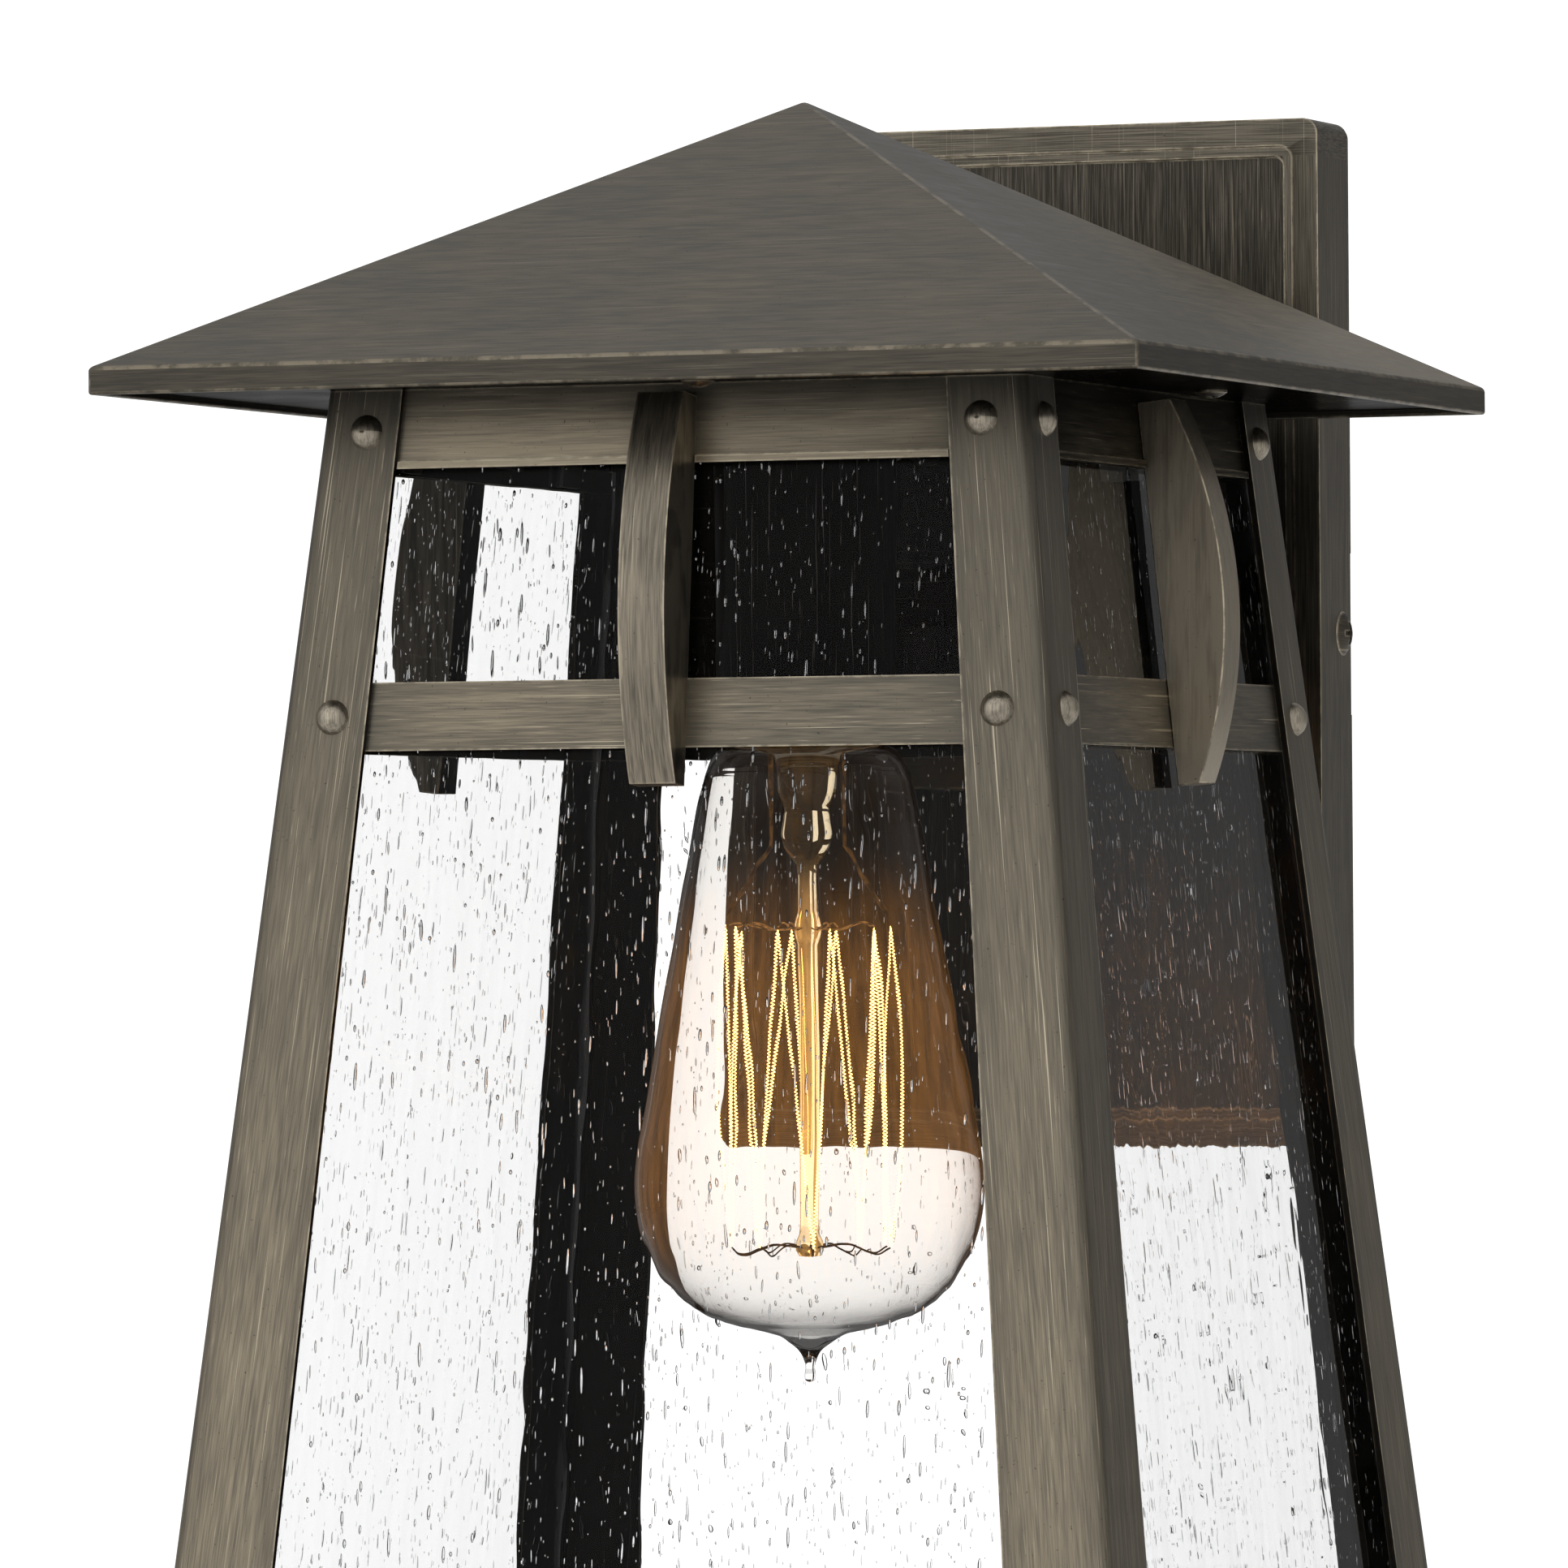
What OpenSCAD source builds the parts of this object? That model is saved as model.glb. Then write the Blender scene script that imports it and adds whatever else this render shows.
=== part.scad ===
// Outdoor wall lantern: square hipped roof, flared riveted cage with four glass panes, three bowed straps,
// a box arm, a stepped back plate and one tipped filament lamp in a hidden socket.
// Frame: origin on the wall at the centre of the bracket's box-screw pattern, +Z up, the front towards -Y.

/* [Roof] */
// Outside width of the square roof
roof_w = 198; // [194:1:202]
// Height of the roof's vertical edge band
fascia_h = 4.9; // [4:0.1:6]
// Rise of the roof from the top of its edge band to the peak
roof_rise = 50.8; // [46:0.2:54]
// Sheet thickness of the roof
roof_t = 1.3; // [1:0.1:1.6]
// Depth of the soffit plate above the roof's lower edge
soffit_up = 1.3; // [1:0.1:2]
// Sheet thickness of the soffit plate
soffit_t = 1.2; // [1:0.1:1.6]

/* [Cage] */
// Half width of the cage at the roof's lower edge
cage_half = 66.8; // [65:0.2:68]
// Outward flare of each face per millimetre of drop
flare = 0.105; // [0.1:0.001:0.11]
// Drop from the roof's lower edge to the feet
cage_drop = 269; // [262:1:275]
// Sheet thickness of the corner posts
post_t = 1.3; // [1.1:0.1:1.5]
// Outside bend radius of the corner posts
post_bend = 2.2; // [1.8:0.1:2.6]
// Flange width of a post as a share of the cage's half width
flange_share = 0.222; // [0.215:0.001:0.23]
// Thickness of the rails
rail_t = 1.8; // [1.7:0.1:2]
// Drop of the header's lower edge
header_drop = 13; // [12.5:0.1:13.5]
// Drop of the mid rail's upper edge
mid_drop = 51.3; // [50:0.1:52]
// Height of the mid and bottom rails
rail_h = 12.3; // [12:0.1:12.6]
// Clear height of the feet below the bottom rails
foot_h = 14; // [12:0.5:16]

/* [Rivets and straps] */
// Head diameter of the rivets
rivet_d = 6.3; // [6:0.1:6.6]
// Head height of the rivets
rivet_h = 2.1; // [1.9:0.1:2.3]
// Width of the bowed straps
strap_w = 8.8; // [8.4:0.1:9.2]
// Length of the bowed straps
strap_len = 69.7; // [68.5:0.1:70]
// Radius of the straps' outer curve
strap_r = 86; // [84:0.5:88]

/* [Glass] */
// Thickness of the panes
glass_t = 2.5; // [2.2:0.1:2.8]
// Drop of the panes' upper edge
glass_top = 9; // [8.5:0.1:9.5]

/* [Wall side] */
// Width of the back plate
plate_w = 124; // [123:1:126]
// Height of the back plate
plate_h = 196; // [192:1:200]
// Depth of the back plate
plate_d = 18.5; // [17.5:0.5:19.5]
// Distance from the wall to the lantern's axis
reach = 131; // [129:0.5:134]
// Height of the roof's lower edge above the plate's centre
eave_z = 40; // [38:0.5:42]
// Width of the box arm
arm_w = 18; // [17:0.5:19]
// Distance between the two box screws
box_pitch = 88.9; // [88.9]

/* [Lamp] */
// Largest diameter of the lamp's bulb
bulb_d = 64; // [62:0.5:65]
// Length of the lamp from its contact to its tip
bulb_len = 142; // [140:1:144]
// Drop of the lamp's contact below the roof's lower edge
contact_drop = 36.8; // [36.5:0.1:37.5]
// Number of filament strands
strands = 20; // [16:2:22]

/* [Hidden] */
$fn = 48;

bronze = [0.33, 0.30, 0.25];
bronze_dark = [0.24, 0.22, 0.19];
steel = [0.70, 0.70, 0.68];
brass = [0.80, 0.66, 0.35];
clear = [0.85, 0.90, 0.90, 0.35];

tilt = atan(flare);                    // lean of each face
lean = cos(tilt);
phi = atan(roof_rise / (roof_w / 2));  // roof pitch
peak = fascia_h + roof_rise;
soffit_z = soffit_up;                  // underside of the soffit plate, above the roof's lower edge
big = 400;
gap = 0.3;                             // clearance between separate pieces
fit = 0.05;                            // radial clearance of shanks in their holes
post_o = post_t / lean;                // horizontal depth of the post sheet
rail_o = (post_t + rail_t) / lean;     // horizontal depth to the rails' inner faces
glass_o = rail_o + 0.25;               // horizontal depth to the panes' outer faces
glass_i = glass_o + glass_t / lean;    // horizontal depth to the panes' inner faces
bottom_top = cage_drop - foot_h - rail_h;
bottom_low = cage_drop - foot_h;
shelf_t = 1.5;                         // sheet of the rails' inward flanges
shelf_w = 6.8;                         // depth of the bottom rails' glass channel
header_flange = 10;
rivet_levels = [(header_drop - 0.4) / 2, mid_drop + rail_h / 2, bottom_top + rail_h / 2];
rivet_share = 0.59;                    // rivet position across a flange, from the corner
shank_r = 1.6;
screw_r = 1.5;                         // shank radius of the small screws
csk_r = 2.75;                          // head radius of the countersunk screws
csk_h = 1.5;
strap_top = 1;                         // drop of the straps' upper ends
strap_s = 32.5;                        // distance of the straps' thickest point from their upper ends
strap_peak = 12.7;                     // thickness of the straps there
strap_screw_s = [5.5, 56.5];           // screws down each strap
clip_x = 38;
clip_w = 8;
clip_t = 0.6;
soffit_screw = [75.4, 8.4];
header_screw_x = 24;
header_screw_in = 6;                   // distance of the header screws inside the rails' inner faces
gasket_t = 1.5;
plate_t = 1.2;
frame_w = 5.2;                         // flat frame around the plate's front
ledge_w = 1.9;
ledge_deep = 0.6;
panel_deep = 1.5;
panel_y = gasket_t + plate_d - panel_deep;   // panel's front surface from the wall
side_screw_y = 6.3;
arm_top = 1;
arm_low = 69.5;
arm_wall = 1.5;
arm_front = 3;
arm_back = 2;
arm_wire_z = 4.7;
stud_z = [22, 58];
stud_r = 2.4;
arm_screw_x = 6.8;
bracket_t = 2;
ear_t = 2;
bracket_half = plate_w / 2 - plate_t - 0.2;
slot_r = 2.4;
slot_len = 12;
nipple_r = 5;
cup_r = 16.6;
cup_low = 58;
cup_t = 0.8;
body_r = 15.7;
well_r = 14.5;
shell_r = 13.2;                        // clear radius inside the socket's thread
base_r = 13.05;                        // crest radius of the lamp's thread
thread_pitch = 3.629;
neck_drop = contact_drop + 24;         // where the glass leaves the base
tip_drop = contact_drop + bulb_len;
wide_drop = tip_drop - 37.3;           // widest level of the bulb
cone_top = contact_drop + 32.5;
cone_top_r = 19.4;
dome_low = tip_drop - 8;               // where the dome meets the sealed tip
bulb_wall = 0.8;
cage_ring_r = 15;                      // radius of the filament cage
cage_ring_top = tip_drop - 83;
cage_ring_low = tip_drop - 25;
wire_r = 1;
ground_r = 1.1;
wire_x = 2.4;
wire_close = 0.55;                     // share of that spacing where the wires pass the grommet
grommet_r = 3.15;

// horizontal distance from the lantern's axis to a face, at a drop below the roof's lower edge
function half(drop) = cage_half + flare * drop;
function rivet_x(drop) = half(drop) * (1 - rivet_share * flange_share);

module lantern() translate([0, -reach, eave_z]) children();
module side(i) rotate([0, 0, 90 * i]) children();
// profile of [distance outward, height] points carried straight along the face
module along_face(len) rotate([90, 0, -90]) linear_extrude(len, center = true) children();
// child's +Z points straight out of the face, +Y up the face, origin sunk by depth
module on_face(x, drop, depth = 0)
    translate([x, -half(drop), -drop]) rotate([90 - tilt, 0, 0]) translate([0, 0, -depth]) children();
// child's +Z points away from the wall, origin on the wall
module on_wall() rotate([90, 0, 0]) children();

module rounded(w, h, r) {
    square([w - 2 * r, h], center = true);
    square([w, h - 2 * r], center = true);
    for (x = [-1, 1], y = [-1, 1]) translate([x * (w / 2 - r), y * (h / 2 - r)]) circle(r);
}
// band between two horizontal depths inside the face
module band(top, low, outer, inner)
    polygon([[half(top) - outer, -top], [half(top) - inner, -top],
             [half(low) - inner, -low], [half(low) - outer, -low]]);
// solid that spans the cage between two faces, drawn in by a share and an inset
module spread(top, low, share = 1, inset = 0, turn = 0)
    rotate([0, 0, turn]) rotate([90, 0, 0]) linear_extrude(big, center = true)
        polygon([[-half(top) * share + inset, -top], [half(top) * share - inset, -top],
                 [half(low) * share - inset, -low], [-half(low) * share + inset, -low]]);
// front quarter of the plan, bounded by the mitre lines
module mitre(clear)
    linear_extrude(2 * big, center = true)
        polygon([[0, -clear], [-big, -big - clear], [big, -big - clear]]);
module csk_screw(len) {
    cylinder(h = csk_h, r1 = csk_r, r2 = screw_r);
    cylinder(h = len, r = screw_r);
}
module csk_hole(len) {
    translate([0, 0, -0.01]) cylinder(h = csk_h + 0.01, r1 = csk_r + fit, r2 = screw_r + fit);
    cylinder(h = len, r = screw_r + fit);
}
module cross_recess(w, deep)
    for (a = [0, 90]) rotate([0, 0, a]) translate([-w / 2, -w / 10, -deep]) cube([w, w / 5, deep + 1]);
module pan_head(r, h) difference() {
    intersection() {
        translate([0, 0, h - r * 1.5]) sphere(r * 1.5);
        cylinder(h = h, r = r);
    }
    translate([0, 0, h]) cross_recess(r, h * 0.6);
}
// round wire through a list of points, with a slightly larger ball at each bend
module wire(pts, r) {
    for (k = [1 : len(pts) - 1]) {
        along = (pts[k] - pts[k - 1]) / norm(pts[k] - pts[k - 1]) * r * 0.4;
        rod(pts[k - 1] + along, pts[k] - along, r);
    }
    for (k = [1 : len(pts) - 2]) translate(pts[k]) sphere(r * 1.2, $fn = 24);
}
module rod(p, q, r) {
    v = q - p;
    translate(p) rotate([0, acos(v[2] / norm(v)), atan2(v[1], v[0])]) cylinder(h = norm(v), r = r, $fn = 24);
}

module roof_shell() color(bronze) lantern() difference() {
    union() {
        translate([-roof_w / 2, -roof_w / 2, 0]) cube([roof_w, roof_w, fascia_h]);
        translate([0, 0, fascia_h]) rotate([0, 0, 45])
            cylinder(h = roof_rise, r1 = roof_w / sqrt(2), r2 = 0, $fn = 4);
    }
    intersection() {
        translate([-roof_w / 2 + roof_t, -roof_w / 2 + roof_t, -1])
            cube([roof_w - 2 * roof_t, roof_w - 2 * roof_t, peak]);
        roof_inside(0);
    }
}
// pyramid parallel to the roof's inner surface, lowered by a clearance
module roof_inside(clear) {
    high = peak - roof_t / cos(phi) - clear + 1;
    translate([0, 0, -1]) rotate([0, 0, 45])
        cylinder(h = high, r1 = high / tan(phi) * sqrt(2), r2 = 0, $fn = 4);
}
module roof_standoffs() color(steel) lantern() for (i = [0 : 3]) side(i) difference() {
    intersection() {
        translate([soffit_screw[0], soffit_screw[1], soffit_z + soffit_t]) cylinder(h = 30, r = 3.5);
        roof_inside(0);
    }
    translate([soffit_screw[0], soffit_screw[1], 0]) cylinder(h = 11, r = screw_r + fit);
}
module soffit_plate() color(bronze_dark) lantern() difference() {
    w = roof_w - 2 * roof_t - 0.4;
    translate([-w / 2, -w / 2, soffit_z]) cube([w, w, soffit_t]);
    for (i = [0 : 3]) side(i) {
        translate([soffit_screw[0], soffit_screw[1], 0]) cylinder(h = 5, r = screw_r + fit);
        for (x = [-1, 1]) translate(header_screw(x)) cylinder(h = 5, r = screw_r + fit, center = true);
    }
    cylinder(h = 5, r = nipple_r + fit);
    translate([-4, half(0) - rail_o - 12, 0]) cube([8, 6, 5]);
}
module soffit_screws() color(steel) lantern() for (i = [0 : 3]) side(i)
    translate([soffit_screw[0], soffit_screw[1], soffit_z]) {
        cylinder(h = 9, r = screw_r);
        rotate([180, 0, 0]) pan_head(3, 1.5);
    }
function header_screw(x) = [x * header_screw_x, -half(0) + rail_o + header_screw_in, soffit_z];

module header(i) color(bronze) lantern() side(i) difference() {
    // the rear one is deeper and closes the back of the cage down to the mid rail
    low = i == 2 ? mid_drop - gap : header_drop;
    union() {
        intersection() {
            along_face(2 * big) {
                band(-soffit_z, low, post_o, rail_o);
                polygon([[half(0) - post_o - 0.5, soffit_z], [half(0) - rail_o - header_flange, soffit_z],
                         [half(0) - rail_o - header_flange, soffit_z - shelf_t],
                         [half(0) - post_o - 0.5, soffit_z - shelf_t]]);
            }
            mitre(gap);
        }
        // rolled lip along the lower edge, between the post flanges
        if (i != 2) intersection() {
            along_face(2 * big) band(header_drop - 1.3, header_drop, post_o - 0.8, post_o + 0.2);
            spread(header_drop - 3, header_drop + 1, 1 - flange_share, 0.4);
            beside_strap();
        }
    }
    for (x = [-1, 1]) {
        on_face(x * rivet_x(rivet_levels[0]), rivet_levels[0], 6) cylinder(h = 6, r = shank_r + fit);
        translate(header_screw(x)) cylinder(h = 8, r = screw_r + fit, center = true);
    }
    if (i != 2) on_face(0, strap_top, post_t + rail_t) translate([0, -strap_screw_s[0], 0]) csk_hole(5);
    else {
        for (x = [-1, 1]) on_face(x * arm_screw_x, arm_wire_z, post_t + rail_t) csk_hole(5);
        on_face(0, arm_wire_z, 6) cylinder(h = 6, r = grommet_r + fit);
        // notch that lets the wires turn up to the soffit
        translate([-4, -half(0) + rail_o + 1.5, -1]) cube([8, 10, 5]);
    }
}
module beside_strap() for (m = [0, 1]) mirror([m, 0, 0]) translate([strap_w / 2 + gap, -big, -big]) cube(2 * big);
module header_front() header(0);
module header_right() header(1);
module header_rear() header(2);
module header_left() header(3);
module header_screws() color(steel) lantern() for (i = [0 : 3]) side(i) for (x = [-1, 1])
    translate(header_screw(x)) {
        translate([0, 0, -shelf_t]) cylinder(h = 8, r = screw_r);
        translate([0, 0, -shelf_t]) rotate([180, 0, 0]) pan_head(2.9, 1.4);
    }
module header_nuts() color(steel) lantern() for (i = [0 : 3]) side(i) for (x = [-1, 1])
    translate(header_screw(x) + [0, 0, soffit_t]) difference() {
        cylinder(h = 2.4, r = 3.2, $fn = 6);
        translate([0, 0, -1]) cylinder(h = 5, r = screw_r + fit);
    }

module post(i) color(bronze) lantern() side(i) difference() {
    turn_r = post_bend / lean;
    foot = cage_drop;
    intersection() {
        union() {
            intersection() {
                spread(-soffit_z, foot, 1, turn_r, 0);
                spread(-soffit_z, foot, 1, 0, 90);
            }
            intersection() {
                spread(-soffit_z, foot, 1, 0, 0);
                spread(-soffit_z, foot, 1, turn_r, 90);
            }
            // round bend along the corner
            intersection() {
                translate([half(-20) - turn_r, -half(-20) + turn_r, 20])
                    rotate([0, 180 - atan(flare * sqrt(2)), -45]) cylinder(h = cage_drop + 60, r = post_bend);
                translate([0, -big, -foot]) cube([big, big, foot + soffit_z]);
            }
        }
        translate([0, -big, -foot - 1]) cube([big, big, foot + soffit_z + 1]);
    }
    intersection() {
        spread(-soffit_z - 9, foot + 9, 1, post_o, 0);
        spread(-soffit_z - 9, foot + 9, 1, post_o, 90);
    }
    spread(-soffit_z - 9, foot + 9, 1 - flange_share, 0, 0);
    spread(-soffit_z - 9, foot + 9, 1 - flange_share, 0, 90);
    for (drop = rivet_levels) {
        on_face(rivet_x(drop), drop, 6) cylinder(h = 9, r = shank_r + fit);
        side(1) on_face(-rivet_x(drop), drop, 6) cylinder(h = 9, r = shank_r + fit);
    }
}
module post_front_right() post(0);
module post_rear_right() post(1);
module post_rear_left() post(2);
module post_front_left() post(3);

module mid_rail(i) color(bronze) lantern() side(i) difference() {
    intersection() {
        along_face(2 * big) band(mid_drop, mid_drop + rail_h, post_o, rail_o);
        mitre(gap);
    }
    for (x = [-1, 1]) on_face(x * rivet_x(rivet_levels[1]), rivet_levels[1], 6)
        cylinder(h = 6, r = shank_r + fit);
    if (i != 2) on_face(0, strap_top, post_t + rail_t) translate([0, -strap_screw_s[1], 0]) csk_hole(5);
    else for (x = [-1, 1]) on_face(x * arm_screw_x, rivet_levels[1], post_t + rail_t) csk_hole(5);
}
module mid_rail_front() mid_rail(0);
module mid_rail_right() mid_rail(1);
module mid_rail_rear() mid_rail(2);
module mid_rail_left() mid_rail(3);

module bottom_rail(i) color(bronze) lantern() side(i) difference() {
    intersection() {
        along_face(2 * big) {
            band(bottom_top, bottom_low, post_o, rail_o);
            band(bottom_low - shelf_t, bottom_low, post_o, rail_o + shelf_w);
            band(bottom_low - 5, bottom_low, rail_o + shelf_w - shelf_t, rail_o + shelf_w);
        }
        mitre(gap);
    }
    for (x = [-1, 1]) on_face(x * rivet_x(rivet_levels[2]), rivet_levels[2], 6)
        cylinder(h = 6, r = shank_r + fit);
}
module bottom_rail_front() bottom_rail(0);
module bottom_rail_right() bottom_rail(1);
module bottom_rail_rear() bottom_rail(2);
module bottom_rail_left() bottom_rail(3);

module frame_rivets() color(bronze) lantern() for (i = [0 : 3]) side(i) for (x = [-1, 1], drop = rivet_levels)
    on_face(x * rivet_x(drop), drop, 0) {
        dome_r = (rivet_d * rivet_d / 4 + rivet_h * rivet_h) / (2 * rivet_h);
        intersection() {
            translate([0, 0, rivet_h - dome_r]) sphere(dome_r);
            cylinder(h = rivet_h + 1, r = rivet_d);
        }
        translate([0, 0, -post_t - rail_t]) cylinder(h = post_t + rail_t + 0.5, r = shank_r);
    }

module strap(i) color(bronze) lantern() side(i) on_face(0, strap_top, post_t) difference() {
    intersection() {
        translate([-strap_w / 2, -strap_len, 0]) cube([strap_w, strap_len, strap_peak + 1]);
        translate([0, -strap_s, strap_peak - strap_r]) rotate([0, 90, 0])
            cylinder(h = 2 * strap_w, r = strap_r, center = true, $fn = 160);
    }
    for (s = strap_screw_s) translate([0, -s, -1]) cylinder(h = 4.2, r = screw_r + fit);
}
module strap_front() strap(0);
module strap_right() strap(1);
module strap_left() strap(3);
module strap_screws() color(steel) lantern() for (i = [0, 1, 3]) side(i)
    on_face(0, strap_top, post_t + rail_t) for (s = strap_screw_s) translate([0, -s, 0]) csk_screw(4.8);

module pane(i) color(clear) lantern() side(i) intersection() {
    along_face(2 * big) band(glass_top, bottom_low - shelf_t, glass_o, glass_i);
    spread(glass_top - 9, bottom_low + 9, 1, glass_i + 0.5);
}
module pane_front() pane(0);
module pane_right() pane(1);
module pane_rear() pane(2);
module pane_left() pane(3);
module glass_clips() color(steel) lantern() for (i = [0 : 3]) side(i) for (x = [-1, 1])
    translate([x * clip_x, 0, 0]) along_face(clip_w) {
        band(1.5, glass_top - 0.3, rail_o, rail_o + clip_t);
        band(glass_top - 0.3 - clip_t, glass_top - 0.3, rail_o, glass_i + clip_t);
        band(glass_top - 0.3 - clip_t, header_drop - 0.3, glass_i, glass_i + clip_t);
    }

module arm_box() color(bronze) {
    lantern() side(2) difference() {
        along_face(arm_w) polygon([
            [half(arm_top) - post_o, -arm_top], [reach - panel_y, -arm_top],
            [reach - panel_y, -arm_low], [half(arm_low) - post_o, -arm_low]]);
        along_face(arm_w - 2 * arm_wall) polygon([
            [half(arm_top) - post_o + arm_front, -arm_top - arm_wall],
            [reach - panel_y - arm_back, -arm_top - arm_wall],
            [reach - panel_y - arm_back, -arm_low + arm_wall],
            [half(arm_low) - post_o + arm_front, -arm_low + arm_wall]]);
        on_face(0, arm_wire_z, 6) cylinder(h = 12, r = grommet_r + fit);
        for (x = [-1, 1], drop = [arm_wire_z, rivet_levels[1]])
            on_face(x * arm_screw_x, drop, 6) cylinder(h = 12, r = screw_r + fit);
        translate([0, -(reach - panel_y) + 5, -eave_z]) rotate([90, 0, 0]) cylinder(h = 10, r = 4.5);
    }
    // two studs through the plate's panel
    for (z = stud_z) translate([0, -panel_y - 1, eave_z - z]) rotate([-90, 0, 0]) cylinder(h = 9, r = stud_r);
}
module arm_screws() color(steel) lantern() side(2)
    for (x = [-1, 1], drop = [arm_wire_z, rivet_levels[1]])
        on_face(x * arm_screw_x, drop, post_t + rail_t) csk_screw(4.7);
module arm_nuts() color(steel) for (z = stud_z)
    translate([0, -panel_y + plate_t, eave_z - z]) rotate([-90, 0, 0]) difference() {
        union() {
            cylinder(h = 1, r = 5.5);
            cylinder(h = 4.4, r = 4.4, $fn = 6);
        }
        translate([0, 0, -1]) cylinder(h = 8, r = stud_r + fit);
    }

module back_plate() color(bronze) on_wall() difference() {
    panel_in = frame_w + ledge_w;
    inner_d = plate_d - plate_t;
    translate([0, 0, gasket_t]) linear_extrude(plate_d) rounded(plate_w, plate_h, 3);
    // hollow behind the frame and, less deep, behind the panel
    translate([0, 0, gasket_t - 1]) difference() {
        linear_extrude(inner_d + 1) rounded(plate_w - 2 * plate_t, plate_h - 2 * plate_t, 2);
        translate([0, 0, inner_d + 1 - panel_deep]) linear_extrude(panel_deep + 1)
            rounded(plate_w - 2 * panel_in + 2 * plate_t, plate_h - 2 * panel_in + 2 * plate_t, 2);
    }
    translate([0, 0, gasket_t + plate_d - ledge_deep]) linear_extrude(2)
        rounded(plate_w - 2 * frame_w, plate_h - 2 * frame_w, 2.5);
    translate([0, 0, gasket_t + plate_d - panel_deep]) linear_extrude(2)
        rounded(plate_w - 2 * panel_in, plate_h - 2 * panel_in, 2);
    for (z = stud_z) translate([0, eave_z - z, 0]) cylinder(h = 30, r = stud_r + fit);
    cylinder(h = 30, r = 4.5);
    translate([0, 0, side_screw_y]) rotate([0, 90, 0]) cylinder(h = 2 * plate_w, r = 2, center = true);
}
module wall_gasket() color([0.12, 0.12, 0.12]) on_wall() difference() {
    linear_extrude(gasket_t) difference() {
        rounded(plate_w - 0.8, plate_h - 0.8, 2.6);
        rounded(plate_w - 14, plate_h - 14, 2);
    }
    // notches where the bracket's ends pass
    for (x = [-1, 1]) translate([x * (bracket_half - 2), 0, 0]) cube([20, 31, 4], center = true);
}
module mounting_bracket() color(steel) on_wall() difference() {
    union() {
        translate([-bracket_half, -15, 0]) cube([2 * bracket_half, 30, bracket_t]);
        for (x = [-1, 1]) translate([x * (bracket_half - ear_t / 2) - ear_t / 2, -9, 0]) cube([ear_t, 18, 13]);
    }
    for (x = [-1, 1]) translate([x * box_pitch / 2, 0, -1]) linear_extrude(5) {
        for (s = [-1, 1]) translate([s * (slot_len / 2 - slot_r), 0]) circle(slot_r);
        square([slot_len - 2 * slot_r, 2 * slot_r], center = true);
    }
    translate([0, 0, -1]) cylinder(h = 5, r = 5.3);
    translate([22, 8, -1]) cylinder(h = 5, r = 1.9 + fit);
    translate([0, 0, side_screw_y]) rotate([0, 90, 0]) cylinder(h = 2 * plate_w, r = 1.9 + fit, center = true);
}
module side_screws() color(bronze_dark) on_wall() for (x = [-1, 1])
    translate([x * plate_w / 2, 0, side_screw_y]) rotate([0, x * 90, 0]) {
        pan_head(4.3, 1.6);
        translate([0, 0, -7]) cylinder(h = 7, r = 1.9);
    }
module ground_screw() color([0.2, 0.45, 0.25]) on_wall() translate([22, 8, bracket_t]) {
    translate([0, 0, ground_r * 2]) pan_head(3.8, 2);
    translate([0, 0, -bracket_t + 0.1]) cylinder(h = bracket_t + ground_r * 2, r = 1.9);
}

module socket_nipple() color(steel) lantern() difference() {
    translate([0, 0, -10]) cylinder(h = 24, r = nipple_r);
    translate([0, 0, -11]) cylinder(h = 26, r = 3.6);
}
module nipple_nut() color(steel) lantern() translate([0, 0, soffit_z + soffit_t]) difference() {
    cylinder(h = 3.5, r = 8.2, $fn = 6);
    translate([0, 0, -1]) cylinder(h = 6, r = nipple_r + fit);
}
module socket_cup() color(bronze_dark) lantern() difference() {
    translate([0, 0, -cup_low]) cylinder(h = cup_low + soffit_z, r = cup_r);
    translate([0, 0, -cup_low - 1]) cylinder(h = cup_low, r = cup_r - cup_t);
    cylinder(h = 9, r = nipple_r + fit, center = true);
}
module socket_body() color([0.93, 0.92, 0.88]) lantern() difference() {
    translate([0, 0, -cup_low + 0.5]) cylinder(h = cup_low - 3, r = body_r);
    // well for the lamp's base
    translate([0, 0, -cup_low - 1]) cylinder(h = cup_low - contact_drop + 4, r = well_r);
    translate([0, 0, -12.5]) cylinder(h = 20, r = nipple_r + fit);
    // passages for the two wires
    for (x = [-1, 1]) translate([x * wire_x, 0, -contact_drop - 1]) cylinder(h = contact_drop, r = wire_r + fit);
}
module socket_shell() color(brass) lantern() difference() {
    top = contact_drop + 4;
    low = cup_low - 1.5;
    union() {
        translate([0, 0, -low]) cylinder(h = low - top, r = shell_r + 1);
        translate([0, 0, -top - 1]) cylinder(h = 1, r = well_r - fit);
        // strip along the well's ceiling that carries the neutral wire
        translate([shell_r + 0.1, -1.5, -top - 0.5]) cube([0.9, 3, top - contact_drop + 3.3]);
        translate([wire_x - 1.5, -1.5, 2 - contact_drop]) cube([shell_r - wire_x + 2.5, 3, 0.8]);
    }
    translate([0, 0, -low - 1]) cylinder(h = low - top + 2, r = shell_r);
    for (k = [0 : 2]) translate([0, 0, -low + 2.5 + k * thread_pitch])
        rotate_extrude() translate([shell_r, 0]) circle(0.6, $fn = 24);
}
module socket_contact() color(brass) lantern() union() {
    translate([-wire_x - 1.5, -2, -contact_drop + 0.05]) cube([5, 4, 0.6]);
    translate([-wire_x - 1.5, -2, -contact_drop + 0.05]) cube([1.5, 4, 2.6]);
}

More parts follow.
